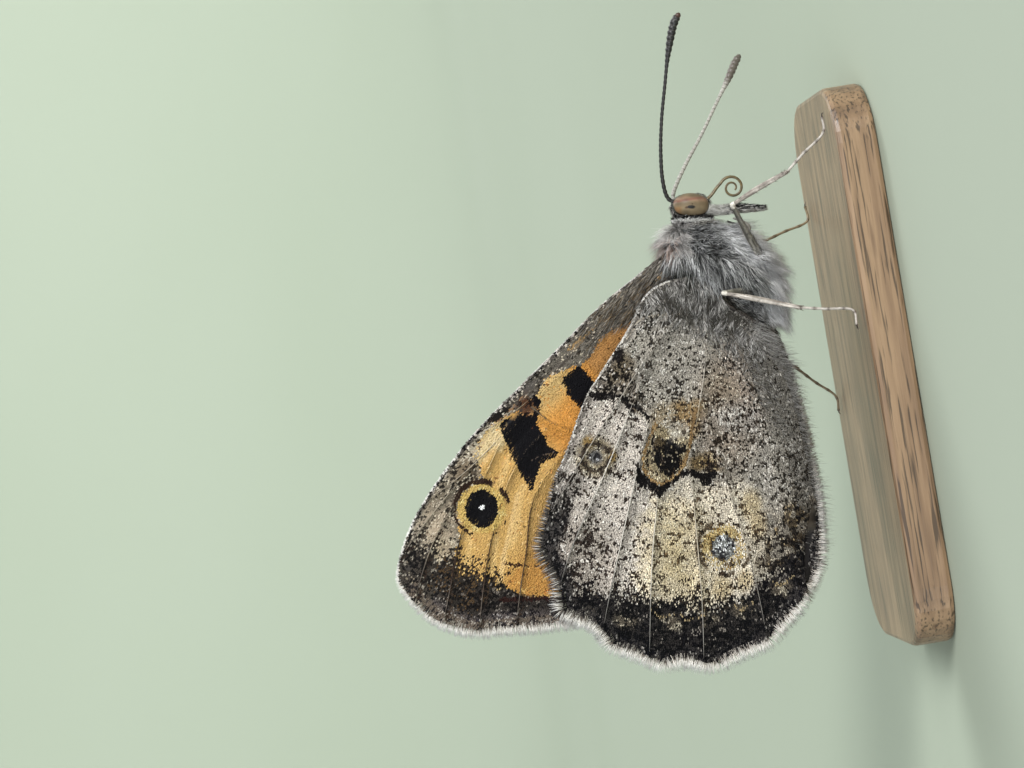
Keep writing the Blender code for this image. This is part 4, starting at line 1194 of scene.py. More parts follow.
def flat_sheet(outline):
    """The places and triangles of an even net that fills the outline."""
    low, high = outline.min(axis=0), outline.max(axis=0)
    column, row = np.meshgrid(
        np.arange(low[0], high[0], SKIN_STEP), np.arange(low[1], high[1], SKIN_STEP * 0.87),
    )
    column = column + SKIN_STEP / 2 * (np.arange(row.shape[0]) % 2)[:, None]
    p, q = column.ravel(), row.ravel()
    gap, _ = path_distance(p, q, np.vstack((outline, outline[:1])))
    keep = is_inside(p, q, outline) & (gap > SKIN_STEP * 0.5)
    flat = np.vstack((outline, np.c_[p[keep], q[keep]]))
    count = len(outline)
    rim = [(index, (index + 1) % count) for index in range(count)]
    found, _, faces, *_ = delaunay_2d_cdt([Vector(point) for point in flat], rim, [], 0, 1e-5)
    flat = np.array([tuple(point) for point in found])
    faces = np.array([tuple(face) for face in faces])
    middle = flat[faces].mean(axis=1)
    faces = faces[is_inside(middle[:, 0], middle[:, 1], outline)]
    turned = np.cross(flat[faces[:, 1]] - flat[faces[:, 0]], flat[faces[:, 2]] - flat[faces[:, 0]])
    faces[turned < 0] = faces[turned < 0][:, ::-1]
    return flat, faces


def vein_bars(wing, side):
    """The veins, and the paler crests of those that show among the scales."""
    parts = []
    for path in wing.veins.values():
        path = path[is_inside(*path[:, :2].T, wing.edge)]
        line = wing.point(path[:, 0], path[:, 1], side, SKIN_THICK / 2 - 0.02)
        radii = np.linspace(VEIN_RADIUS, VEIN_END_RADIUS, len(line))
        parts.append(sweep(line, radii, linear((96, 84, 70)), 8))
    for vein, start, end, radius, first, last in wing.data["crests"]:
        path = wing.veins[vein]
        p, q = path[(path[:, 0] > start) & (path[:, 0] < end) & is_inside(*path[:, :2].T, wing.edge)].T
        crest = wing.point(p, q, side, SKIN_THICK / 2 + VEIN_RISE + CREST_LIFT)
        share = np.linspace(0, 1, len(p))
        ends = np.minimum(1, np.minimum(share, 1 - share) / CREST_TAPER)
        tone = blend(rgb(*first), rgb(*last), ease((share - 0.5) / 0.3)[:, None])
        parts.append(sweep(crest, radius * blend(0.2, 1, ends), linear(tone), 6))
    return parts


def make_wing_skin(name, wing, side, paint, material, node):
    """A thin closed sheet with the veins as round bars sunk half in it."""
    rng = np.random.default_rng(SEED + 3)
    flat, faces = flat_sheet(wing.edge)
    p, q = flat.T
    relief = wing.relief(wing.vein_distance(p, q))
    outer = wing.point(p, q, side, relief + SKIN_THICK / 2)
    inner = wing.point(p, q, side, relief - SKIN_THICK / 2)
    edges = np.vstack((faces[:, [0, 1]], faces[:, [1, 2]], faces[:, [2, 0]]))
    known = {tuple(edge) for edge in edges}
    rim = np.array([edge for edge in known if (edge[1], edge[0]) not in known])
    size = len(flat)
    walls = np.vstack((
        np.c_[rim[:, 1], rim[:, 0], rim[:, 0] + size],
        np.c_[rim[:, 1], rim[:, 0] + size, rim[:, 1] + size],
    ))
    triangles = np.vstack((faces, faces[:, ::-1] + size, walls))
    if side > 0:
        triangles = triangles[:, ::-1]
    shades = linear(paint(wing, p, q, rng, False))
    sheet = (place(*np.vstack((outer, inner)).T), triangles, np.vstack((shades, shades * 0.9)))
    points, triangles, shades = joined([sheet] + vein_bars(wing, side))
    add_piece(name, solid_mesh(points, triangles, shades), material, (node,))


def scale_layout(wing, covered, rng):
    """Rows of scales that spread from the wing's root: places and directions in the wing's plane."""
    focus = np.array(FOCUS)
    reach = np.arange(2.5, 27.0, SCALE_ROW)
    places = []
    for row, radius in enumerate(reach):
        step = SCALE_WIDTH * 0.86 / radius
        angle = np.arange(-0.9, 1.4, step) + (row % 2) * step / 2
        places.append(np.c_[focus[0] + radius * np.cos(angle), focus[1] + radius * np.sin(angle)])
    places = np.vstack(places) + rng.normal(0, 0.012, (sum(map(len, places)), 2))
    p, q = places.T
    keep = is_inside(p, q, wing.edge) & covered(p, q)
    places = places[keep]
    return places, unit(places - focus)


def add_shells(name, wing, side, root, run, size, base, thick, shape, faces, shades, material):
    """Small shells of one shape on a wing. base is their lift, and thick scales the shape's own lift."""
    length, width = size
    beside = np.c_[-run[:, 1], run[:, 0]]
    corners = []
    for forward, out, rise, *_ in shape:
        where = root + run * (length * forward)[:, None] + beside * (width * out)[:, None]
        corners.append(wing.point(where[:, 0], where[:, 1], side, base + thick * rise))
    points = np.stack(corners, axis=1).reshape(-1, 3)
    one = np.array(faces)
    if side > 0:
        one = one[:, ::-1]
    triangles = (np.arange(len(root))[:, None, None] * len(shape) + one).reshape(-1, 3)
    spread = np.array([corner[3:] for corner in shape]) * PATCH
    unwrap = ((root + WING_UNWRAP_START) / WING_UNWRAP_SPAN)[:, None, :] + spread
    add_piece(name, solid_mesh(place(*points.T), triangles, shades, unwrap.reshape(-1, 2)), material)


def make_scales(name, wing, side, paint, covered, material):
    """Overlapping scales, each a flat shell with its own colour."""
    rng = np.random.default_rng(SEED + 4)
    places, run = scale_layout(wing, covered, rng)
    count = len(places)
    turn = rng.normal(0, 0.13, count)
    cos, sin = np.cos(turn), np.sin(turn)
    run = np.stack((run[:, 0] * cos - run[:, 1] * sin, run[:, 0] * sin + run[:, 1] * cos), axis=-1)
    length = SCALE_LENGTH * rng.uniform(0.85, 1.15, count)
    width = SCALE_WIDTH * rng.uniform(0.85, 1.15, count)
    tilt = SCALE_TILT * rng.uniform(0.65, 1.35, count)
    relief = wing.relief(wing.vein_distance(*places.T))
    base = relief + SKIN_THICK / 2 + 0.004
    shades = np.repeat(linear(paint(wing, *places.T, rng)), len(SCALE_SHAPE), axis=0)
    size = (length, width)
    add_shells(
        name, wing, side, places, run, size, base, tilt, SCALE_SHAPE, SCALE_FACES, shades, material,
    )


def make_fringe(name, wing, side, paint, material):
    """Hair scales along the margin: a short dark row, and a long pale one that reaches the outline."""
    rng = np.random.default_rng(SEED + 5)
    loop = np.vstack(
        (np.c_[wing.edge, wing.outward, wing.fringe], np.r_[wing.edge[0], wing.outward[0], wing.fringe[0]])
    )
    along = np.r_[0, np.cumsum(np.hypot(*np.diff(loop[:, :2], axis=0).T))]
    count = int(along[-1] / FRINGE_SPACING)
    spot = rng.uniform(0, along[-1], count)
    p, q, out_p, out_q, reach = (np.interp(spot, along, loop[:, column]) for column in range(5))
    keep = reach > 0.04
    p, q, out_p, out_q, reach = p[keep], q[keep], out_p[keep], out_q[keep], reach[keep]
    count = len(p)
    short = rng.uniform(0, 1, count) < 0.35
    length = (reach + 0.12) * np.where(short, rng.uniform(0.35, 0.6, count), rng.uniform(0.78, 1.0, count))
    sway = rng.normal(0, 0.16, count)
    out = unit(np.c_[out_p - out_q * sway, out_q + out_p * sway])
    root = np.c_[p, q] - out * 0.12
    width = FRINGE_WIDTH * rng.uniform(0.6, 1.1, count)
    lift = SKIN_THICK / 2 * rng.uniform(-0.6, 1.0, count) + wing.relief(wing.vein_distance(p, q)) * 0.7
    roots, tips = paint(wing, p, q, short, rng)
    share = np.array([corner[0] for corner in FRINGE_SHAPE])[None, :, None]
    shades = linear(blend(roots[:, None, :], tips[:, None, :], share).reshape(-1, 3))
    size = (length, width)
    add_shells(
        name, wing, side, root, out, size, lift, 1.0, FRINGE_SHAPE, FRINGE_FACES, shades, material,
    )


# Markings. Colours are screen values, and each is laid over the ones before it.
BLACK = np.array((15.0, 14.0, 18.0))


class Paint:
    """Colours being laid on a set of places: a ground, and how many dark and light scales lie among it."""

    def __init__(self, p, q, ground, dark, light, dark_share, light_share, rng):
        self.p, self.q, self.rng = p, q, rng
        self.ground = np.tile(rgb(*ground), (len(p), 1))
        self.dark = np.tile(rgb(*dark), (len(p), 1))
        self.light = np.tile(rgb(*light), (len(p), 1))
        self.dark_share = np.full(len(p), float(dark_share))
        self.light_share = np.full(len(p), float(light_share))

    def lay(self, mask, ground=None, dark=None, light=None, dark_share=None, light_share=None):
        """Mixes these in by the mask."""
        mask = np.clip(mask, 0, 1).astype(float)
        for name, value in (("ground", ground), ("dark", dark), ("light", light)):
            if value is not None:
                now = getattr(self, name)
                setattr(self, name, blend(now, np.asarray(value, float), mask[:, None]))
        for name, value in (("dark_share", dark_share), ("light_share", light_share)):
            if value is not None:
                setattr(self, name, blend(getattr(self, name), value, mask))

    def broken(self, mask):
        """The mask as whole scales, so that its soft edge becomes a speckled one."""
        return (mask > self.rng.uniform(0.12, 0.88, len(self.p))).astype(float)

    def solid(self, mask, colour):
        """A mark whose every scale has this colour."""
        self.lay(self.broken(mask), colour, colour, colour, 0.0, 0.0)

    def line(self, points, width, colour, strength=1.0, soft=0.06):
        gap, _ = path_distance(self.p, self.q, smooth_path(points, 0.15))
        ragged = 0.06 * (mottle(self.p, self.q, 0.16, 31) - 0.5)
        self.solid(cover(width / 2 - gap + ragged, soft) * strength, colour)

    def area(self, corners, soft=0.12, ragged=0.10):
        """The mask of a smooth outline with a slightly ragged edge."""
        depth = depth_in(self.p, self.q, corners)
        depth = depth + ragged * (mottle(self.p, self.q, 0.25, 33) - 0.5) * 2
        return cover(depth, soft)

    def blob(self, centre, semi, soft=0.5):
        """A mask that is 1 inside an oval and falls off over a share of its size."""
        reach = np.hypot((self.p - centre[0]) / semi[0], (self.q - centre[1]) / semi[1])
        return 1 - ease((reach - 1 + soft / 2) / soft)

    def finish(self, spread, flecked):
        """Draws each scale's own colour. Dark scales gather in short wavy bars across the wing."""
        if not flecked:
            return blend(self.ground, self.dark, 0.35)
        count = len(self.p)
        reach = np.hypot(self.p - FOCUS[0], self.q - FOCUS[1])
        around = np.arctan2(self.q - FOCUS[1], self.p - FOCUS[0]) * reach
        bent = reach + 0.35 * mottle(self.p, self.q, 0.45, 42) + 0.12 * around
        bars = mottle(bent, around * 0.55 - 0.2 * reach, 0.10, 43) + 0.7 * mottle(
            bent * 0.8 - around, around * 0.6 + bent, 0.13, 44,
        )
        clump = mottle(self.p, self.q, 0.55, 41)
        chance = self.rng.uniform(0, 1, count)
        score = evenly(0.60 * evenly(bars) + 0.22 * chance + 0.18 * evenly(clump))
        dark = score < self.dark_share
        bright = 0.6 * self.rng.uniform(0, 1, count) + mottle(bent, around * 0.7, 0.16, 45)
        light = ~dark & (evenly(bright) > 1 - self.light_share * 1.15)
        colour = self.ground * (1 + spread * self.rng.normal(0, 1, (count, 1)))
        colour = np.where(dark[:, None], self.dark * (1 + 0.25 * self.rng.normal(0, 1, (count, 1))), colour)
        colour = np.where(
            light[:, None], self.light * (1 + 0.06 * self.rng.normal(0, 1, (count, 1))), colour,
        )
        return np.clip(colour, 0, 255)


def margin_gap(wing, p, q):
    return path_distance(p, q, wing.rim)[0]


# The front wing's marks.
WEDGE = (
    (11.83, -0.99), (12.21, -0.34), (12.56, 0.40), (12.88, 1.18), (13.10, 1.95), (13.26, 2.40),
    (12.80, 2.16),
    (12.32, 1.98), (11.86, 1.87), (11.44, 1.97), (10.90, 2.10), (10.95, 1.48), (10.64, 0.78), (10.51, 0.33),
    (9.90, -0.05), (9.45, -0.36), (9.50, -0.74), (9.80, -0.72), (9.92, -0.38), (10.27, -0.18),
    (10.59, -0.28),
    (10.68, -0.70), (10.98, -0.86), (11.45, -1.02),
)
WEDGE_HOLLOW = (
    (9.80, -0.98), (9.80, -0.60), (10.21, -0.20), (10.57, -0.26), (10.62, -0.72), (10.60, -1.10),
)
CELL_BAR = (
    (7.95, -0.23), (6.94, -0.01), (6.88, 0.34), (7.02, 0.71), (6.92, 1.30), (6.80, 2.40), (8.30, 2.50),
    (8.46, 1.22), (8.38, 0.65), (8.44, 0.47), (8.15, 0.25), (8.14, -0.08),
)
COSTAL_SPOT = (
    (12.28, -1.86), (11.75, -1.83), (11.19, -1.52), (10.75, -1.30), (11.25, -1.17), (11.70, -1.24),
    (12.10, -1.50),
)
CREAM_PATCH = (
    (11.80, -1.30), (11.85, -0.80), (12.30, -0.22), (12.80, -0.25), (13.20, -0.50), (13.95, -0.50),
    (13.70, -1.05), (12.66, -1.35),
)
TIP_PATCH = ((16.90, -0.52), (17.60, -0.46), (18.40, 0.10), (18.45, 0.78), (17.54, 0.66), (17.01, 0.05))
LAST_SPOT = ((16.30, 4.50), (15.70, 5.30), (16.10, 6.40), (16.90, 6.25), (17.50, 5.33), (17.45, 4.60))
# Where the grey leading edge ends, as places along the wing and across it.
COSTA_LIMIT = (
    (0.0, 2.0), (2.5, 0.9), (3.4, 0.6), (3.8, 0.2), (4.6, -0.05), (5.8, -0.05), (6.8, 0.02), (7.6, -0.45),
    (8.2, -0.78), (9.4, -0.72), (10.4, -0.80), (11.1, -1.12), (11.9, -1.28), (12.7, -1.30), (13.5, -1.08),
    (13.95, -0.75),
    (14.2, -0.15), (14.5, 0.3), (16.4, 0.3), (16.7, 0.45), (17.0, 0.8), (17.8, 1.4), (18.5, 1.9),
    (19.5, 2.6), (22.0, 4.4),
)
# Where the orange field ends towards the outer margin, as places across the wing and along it.
FIELD_END = (
    (0.0, 19.4), (1.9, 18.6), (2.6, 18.3), (3.3, 18.0), (4.5, 17.7), (5.3, 17.45), (6.2, 16.9), (7.2, 16.2),
    (8.5, 15.3), (10.5, 13.8),
)
# A painted highlight along the ridge of one fold of the front wing.
FOLD_HIGHLIGHT = ((13.8, 1.92), (15.05, 2.63), (16.6, 3.46), (18.0, 4.35))
FORE_SPOT = (15.56, 1.06)
FORE_SPOT_LONG = (0.75, 0.66)


def lay_leading_edge(paint, gap, cloud):
    """Fine streaks along the wing, paler from the middle on, then the speckled tip."""
    p, q = paint.p, paint.q
    limit = np.interp(p, *zip(*COSTA_LIMIT))
    over = limit - q + 0.25 * (mottle(p * 0.35, q, 0.3, 51) - 0.5)
    soft = np.interp(p, (0, 11, 13, 14, 16.5, 18), (0.22, 0.18, 0.25, 0.9, 0.7, 0.3))
    band = paint.broken(cover(over, soft))
    streak = mottle(p * 0.16, q * 2.6, 0.35, 52)[:, None]
    dusky = blend(rgb(66, 60, 54), rgb(140, 133, 122), streak)
    paler = blend(rgb(128, 118, 104), rgb(194, 183, 160), streak)
    speckled = blend(rgb(132, 121, 104), rgb(168, 157, 138), cloud[:, None])
    grey = blend(dusky, paler, ease((p - 11.4) / 1.2)[:, None])
    grey = blend(grey, speckled, ease((p - 14.0) / 1.2)[:, None])
    paint.lay(band, grey, (50, 45, 39), (192, 181, 162), 0.10, 0.08)
    paint.lay(band * ease((p - 13.2) / 1.5), dark_share=0.22, light_share=0.20)
    paint.lay(
        band * paint.blob((14.2, -0.7), (1.2, 0.6), 0.9) * 0.8, (120, 104, 84), (44, 36, 30),
        dark_share=0.38,
    )
    paint.lay(
        paint.area(TIP_PATCH, 1.3, 0.5) * 0.9, (198, 180, 156), (96, 80, 66), (222, 206, 182), 0.12, 0.16,
    )
    paint.lay(
        paint.blob((18.6, 0.9), (0.8, 0.5), 1.0) * 0.7, (176, 160, 134), light=(214, 200, 172),
        light_share=0.25,
    )
    middle = ease((p - 10.6) / 1.0) * ease((14.6 - p) / 1.0) * band
    paint.lay(middle * 0.8, (194, 184, 163), (90, 79, 66), (228, 219, 200), 0.12, 0.24)
    edge = ease((0.34 - gap) / 0.2) * ease((20.5 - p) / 1.0) * (q < 0.4)
    paint.lay(edge, (92, 86, 80), (22, 20, 20), (190, 182, 174), 0.34, 0.26)
    paint.line(((0.5, 0.15), (2.5, -0.25), (4.5, -0.62), (6.6, -0.95)), 0.17, (178, 146, 104), 0.75, 0.1)


def lay_front_margin(paint, gap, cloud, fine):
    """The dark margin."""
    p, q = paint.p, paint.q
    end = np.interp(q, *zip(*FIELD_END))
    past = p - end + 0.5 * (cloud - 0.5) + 0.2 * (fine - 0.5)
    soft = np.interp(q, (1.5, 3.8, 4.6), (1.5, 1.2, 0.16))
    dark = paint.broken(cover(past, soft) * (q > 1.0))
    paint.lay(dark, (52, 47, 43), (18, 16, 16), (112, 104, 96), 0.36, 0.08)
    sparse = paint.broken(
        cover(past + 0.9, 1.3) * (q < 4.3) * (q > 1.2) * 0.42 * (0.4 + fine)
    )
    paint.lay(sparse, (84, 66, 46), (30, 25, 22), dark_share=0.5)
    apex = ease((2.3 - gap + 0.9 * (cloud - 0.5)) / 0.9) * ease((p - 18.0) / 1.6) * ease((3.6 - q) / 1.5)
    paint.lay(paint.broken(apex * 0.85), (70, 64, 58), (22, 20, 20), (150, 142, 130), 0.36, 0.14)
    grey_zone = ease((1.75 - gap + 0.4 * (cloud - 0.5)) / 0.5) * ease((p - 15.5) / 1.0) * (q > 2.2)
    paint.lay(grey_zone * 0.85, (98, 90, 88), (32, 30, 34), (166, 160, 158), 0.28, 0.18)
    rows = ease((1.30 - gap) / 0.2) * ease((p - 13.5) / 1.0) * (q > 1.0)
    paint.lay(rows * 0.85, (112, 100, 88), (44, 40, 40), (160, 150, 138), 0.24, 0.14)
    paint.lay(
        paint.area(LAST_SPOT, 0.16, 0.06), (196, 146, 78), (150, 100, 52), (214, 172, 104), 0.05, 0.08,
    )
    paint.line(((18.38, 4.78), (17.75, 5.45), (17.11, 6.14), (16.3, 7.0)), 0.22, (46, 26, 22), 0.95, 0.1)
    paint.line(((16.91, 3.68), (16.38, 4.41)), 0.12, (58, 36, 24), 0.85)
    paint.line(((15.75, 5.2), (16.4, 4.45), (16.9, 4.1)), 0.07, (70, 50, 34), 0.6)


def lay_black_marks(paint):
    """The bars and spots in the orange."""
    paint.solid(paint.area(CELL_BAR, 0.05, 0.03), BLACK)
    wedge = paint.area(WEDGE, 0.05, 0.03)
    hollow = paint.area(WEDGE_HOLLOW, 0.2, 0.08)
    paint.lay(hollow, (92, 62, 44), (26, 18, 16), (140, 106, 80), 0.55, 0.08)
    paint.solid(wedge, BLACK)
    paint.line(((10.3, 0.0), (10.75, 0.25), (11.25, 0.75), (11.9, 1.35)), 0.05, (74, 46, 34), 0.5)
    paint.line(((11.0, 1.9), (11.5, 1.6), (12.1, 1.3)), 0.05, (96, 84, 76), 0.5)
    paint.solid(paint.area(COSTAL_SPOT, 0.16, 0.08) * 0.95, (28, 24, 22))
    paint.line(((12.1, -1.35), (11.3, -1.12), (10.6, -1.16), (9.9, -1.1)), 0.06, (140, 110, 84), 0.6)


def shade_front_veins(paint, wing):
    """A thin painted shade beside each vein towards the margin, and a painted highlight along one fold."""
    p, q = paint.p, paint.q
    for name in ("radius_5", "media_1", "media_2", "media_3", "cubitus_1", "radius_4"):
        distance, share = path_distance(p, q - 0.16, wing.veins[name])
        # Painted shade beside the vein: a darker ground, and dark scales near the margin.
        shade = ease((0.24 - distance) / 0.18) * ease((p - 11.5) / 2.0) * (share < 0.98)
        paint.ground = paint.ground * (1 - 0.16 * shade[:, None])
        paint.lay(
            paint.broken(shade * ease((p - 17.0) / 1.5) * 0.6), (60, 48, 40), (30, 25, 24), dark_share=0.4,
        )
    # The painted highlight along one fold.
    distance, _ = path_distance(p, q, np.array(FOLD_HIGHLIGHT))
    paint.lay(ease((0.16 - distance) / 0.10) * 0.8, (230, 198, 142))


def lay_front_eyespot(paint, fine):
    """The eyespot and its broken outer ring."""
    p, q = paint.p, paint.q
    near_p, near_q = p - FORE_SPOT[0], q - FORE_SPOT[1]
    reach = np.hypot(near_p, near_q) + 0.05 * (fine - 0.5)
    turn = np.arctan2(near_q, near_p)
    arc = ((turn < 0.3) & (turn > -2.9)) | (turn > 2.55) | (mottle(p, q, 0.3, 56) > 0.88)
    thick = 0.06 + 0.09 * np.maximum(0, np.cos(turn + 2.35))
    paint.solid(cover(thick - np.abs(reach - 1.37), 0.10) * arc * 0.9, (48, 33, 26))
    ring = cover(1.22 - reach, 0.08)
    paint.lay(paint.broken(ring), (204, 174, 104), (146, 116, 62), (226, 204, 140), 0.06, 0.12)
    along = near_p * FORE_SPOT_LONG[0] + near_q * FORE_SPOT_LONG[1]
    beside = near_p * FORE_SPOT_LONG[1] - near_q * FORE_SPOT_LONG[0]
    paint.solid(cover(1 - np.hypot(along / 0.97, beside / 0.81), 0.03), BLACK)
    glint = np.hypot(p - 15.5, (q - 1.02) * 1.2)
    paint.solid(cover(0.155 - glint, 0.01), (252, 252, 252))


def paint_forewing(wing, p, q, rng, flecked=True):
    """Orange with black bars and one eyespot, a streaky grey leading edge and a speckled tip and margin."""
    paint = Paint(p, q, (209, 170, 104), (170, 128, 76), (226, 192, 132), 0.02, 0.03, rng)
    paint.lay(ease((11.6 - p) / 1.5), (213, 152, 75), (172, 114, 56), (228, 174, 100))
    paint.lay(ease((6.9 - p) / 0.6), (184, 136, 80), (144, 98, 52), (204, 156, 94))
    paint.lay(paint.blob((8.9, -0.35), (1.5, 0.75), 0.9), (214, 182, 124))
    paint.lay(paint.blob((9.2, 0.3), (1.0, 0.5), 1.0) * 0.4, (212, 170, 104))
    paint.lay(paint.area(CREAM_PATCH, 0.5), (225, 203, 157), light=(236, 218, 178), light_share=0.12)
    # Painted highlights along the ridges of the wing's folds.
    fold_highlights = (
        ((12.9, 0.5), (14.1, 1.0)), ((13.4, 1.9), (15.6, 3.3)), ((16.7, 1.35), (18.5, 2.6)),
        ((16.2, 2.6), (17.6, 3.6)),
        ((16.6, 3.5), (18.0, 4.5)), ((14.6, 2.6), (16.0, 3.4)),
    )
    for points in fold_highlights:
        gap, _ = path_distance(p, q, np.array(points))
        paint.lay(ease((0.26 - gap) / 0.22) * 0.8, (226, 192, 130))
    paint.lay(ease((q - 3.6) / 1.2) * ease((p - 14.5) / 1.0), (194, 148, 80), light=(212, 172, 106))
    cloud = mottle(p, q, 0.9, 54)
    fine = mottle(p, q, 0.3, 53)
    gap = margin_gap(wing, p, q)
    lay_leading_edge(paint, gap, cloud)
    lay_front_margin(paint, gap, cloud, fine)
    lay_black_marks(paint)
    shade_front_veins(paint, wing)
    lay_front_eyespot(paint, fine)
    return paint.finish(0.025, flecked)


# The rear wing's marks.
ZIGZAG = (
    (6.10, -4.85), (6.21, -4.53), (6.13, -4.12), (5.95, -3.90), (6.03, -3.56), (6.02, -3.28), (6.30, -3.03),
    (6.48, -2.66), (6.65, -2.25), (6.91, -1.88),
)
BEFORE_ZIGZAG = (
    (5.42, -4.55), (4.95, -4.46), (4.03, -3.81), (4.18, -3.10), (5.21, -2.80), (5.90, -2.25), (6.68, -1.98),
    (6.40, -2.67), (5.94, -3.26), (5.92, -3.95), (6.15, -4.30), (5.99, -4.78),
)
LILAC_ZONE = (
    (6.1, -4.9), (6.1, -3.5), (6.6, -2.3), (7.1, -1.9), (9.6, -2.1), (10.5, -1.5), (11.5, -0.9),
    (15.4, -0.9),
    (15.8, -3.0), (15.2, -5.2), (13.5, -6.2), (10.5, -5.9), (8.0, -5.4),
)
BEIGE_ZONE = (
    (10.3, -1.0), (10.9, -0.6), (10.2, 0.0), (9.9, 0.6), (9.9, 1.6), (9.6, 2.4), (9.8, 3.6), (11.0, 4.7),
    (13.4, 5.0),
    (15.0, 4.0), (16.0, 2.6), (16.2, 0.8), (15.9, -1.2), (13.0, -1.4),
)
CELL_OUTLINE = (
    (7.30, -1.50), (7.40, 0.40), (7.95, 0.40), (8.62, 0.31), (9.25, 0.16), (9.80, -0.30), (10.14, -0.88),
    (9.72, -1.60), (9.13, -1.88), (8.43, -1.82), (7.70, -1.62),
)
CELL_RING = (
    (7.20, -1.45), (7.64, -1.59), (8.43, -1.80), (9.13, -1.86), (9.70, -1.59), (10.12, -0.89),
    (9.80, -0.32),
    (9.25, 0.14), (8.62, 0.29), (7.92, 0.38), (6.93, 0.38), (6.10, 0.50),
)
CELL_BLACK = (
    (7.89, -1.41), (7.73, -1.12), (7.86, -0.72), (7.95, -0.41), (7.86, 0.04), (7.97, 0.33), (8.33, 0.18),
    (8.58, 0.01),
    (9.03, 0.07), (9.57, -0.20), (9.69, -0.64), (9.40, -1.06), (8.98, -1.31), (8.50, -1.18), (8.23, -1.47),
)
CELL_UNDER = (
    (9.20, -2.10), (9.68, -2.12), (10.14, -2.08), (10.38, -1.80), (10.47, -1.28), (10.84, -0.80),
    (10.46, -0.56),
    (10.07, -0.27), (9.60, 0.20), (9.40, 0.24), (9.67, -0.17), (10.23, -0.84), (9.90, -1.50), (9.66, -1.85),
)
CRESCENT = (
    (9.34, 0.20), (9.21, 0.67), (9.27, 0.91), (9.25, 1.36), (9.12, 1.92), (9.43, 1.86), (9.85, 1.60),
    (9.92, 1.32),
    (9.65, 1.00), (9.52, 0.70), (9.52, 0.38),
)
OCHRE_STREAKS = ((6.06, -0.57), (5.80, 0.75), (7.05, 0.65), (7.76, 0.41), (7.59, 0.00), (7.19, -0.50))
PALE_CELL_END = ((6.95, -0.66), (7.00, 0.23), (7.71, 0.25), (7.74, -0.59))
BROWN_BESIDE = ((8.60, 0.44), (8.30, 1.01), (8.45, 1.80), (9.09, 1.98), (9.26, 1.29), (9.18, 0.67))
YELLOW_ZONE = (
    (11.97, -0.81), (11.38, 0.19), (11.85, 1.31), (13.80, 1.56), (15.29, 1.91), (15.60, 0.30),
    (15.00, -0.60),
)
DARK_CORNER = ((11.3, 4.6), (10.1, 6.3), (11.5, 7.4), (13.4, 7.3), (14.6, 5.6), (14.0, 4.9))
# Where the dark margin begins, as places across the wing and along it.
MARGIN_START = (
    (-7.0, 13.6), (-5.95, 14.9), (-4.56, 16.0), (-3.05, 15.9), (-0.78, 15.8), (1.54, 16.05), (3.06, 15.9),
    (4.46, 15.0), (5.77, 13.4), (6.78, 11.8), (7.8, 9.5), (8.6, 7.0),
)
SCALLOPS = ((17.15, -3.6), (17.12, -1.68), (16.98, 0.6), (16.66, 2.54), (15.92, 4.13), (14.6, 5.9))
HIND_SPOT = (12.9, 2.72)
FAINT_SPOT = (9.2, -4.22)
# How strongly each vein is shaded.
VEIN_SHADES = {
    "media_1": 0.9, "media_2": 0.9, "sector": 0.75, "radius": 0.6, "cubitus_1": 0.8, "cubitus_2": 0.6,
    "anal_2": 0.4,
}


def shade_rear_veins(paint, wing):
    """Painted fold shading: each panel between two veins is darker on its front side, as if the wing were
    folded there, and a painted highlight lies just beside each vein on its other side.
    """
    p, q = paint.p, paint.q
    for name, strength in VEIN_SHADES.items():
        distance, share = path_distance(p, q - 0.20, wing.veins[name])
        shade = ease((0.30 - distance) / 0.24) * strength * (share < 0.98) * ease((p - 3.0) / 2.0)
        paint.ground = paint.ground * (1 - 0.20 * shade[:, None])
        paint.lay(shade * 0.6, dark_share=0.34)
        # The painted highlight just beside the vein, on the side away from the painted shade.
        distance, share = path_distance(p, q + 0.13, wing.veins[name])
        bright = ease((0.16 - distance) / 0.12) * strength * (share < 0.98) * ease((p - 3.0) / 2.0)
        paint.ground = paint.ground * (1 + 0.07 * bright[:, None])


def lay_rear_edge(paint, gap, fine):
    """The pale leading edge with a dusky line behind it."""
    p, q = paint.p, paint.q
    costa = cover(0.13 - gap, 0.06) * (q < -2.4)
    costa = costa * ease((11.0 - p) / 1.5) * ease((p - 1.8) / 1.0)
    behind = cover(0.36 - gap, 0.16) * (1 - costa) * (q < -2.4) * ease((12.5 - p) / 1.5)
    paint.lay(behind * 0.6, (92, 86, 80), dark_share=0.34)
    paint.lay(costa, (186, 180, 171), light=(222, 218, 210), dark_share=0.06, light_share=0.35)
    lower = ease((1.9 - gap + 0.8 * (fine - 0.5)) / 0.9) * ease((p - 9.2) / 4.0) * (q < -3.2)
    paint.lay(lower * 0.9, (74, 69, 66), (14, 13, 14), (176, 170, 164), 0.46, 0.12)


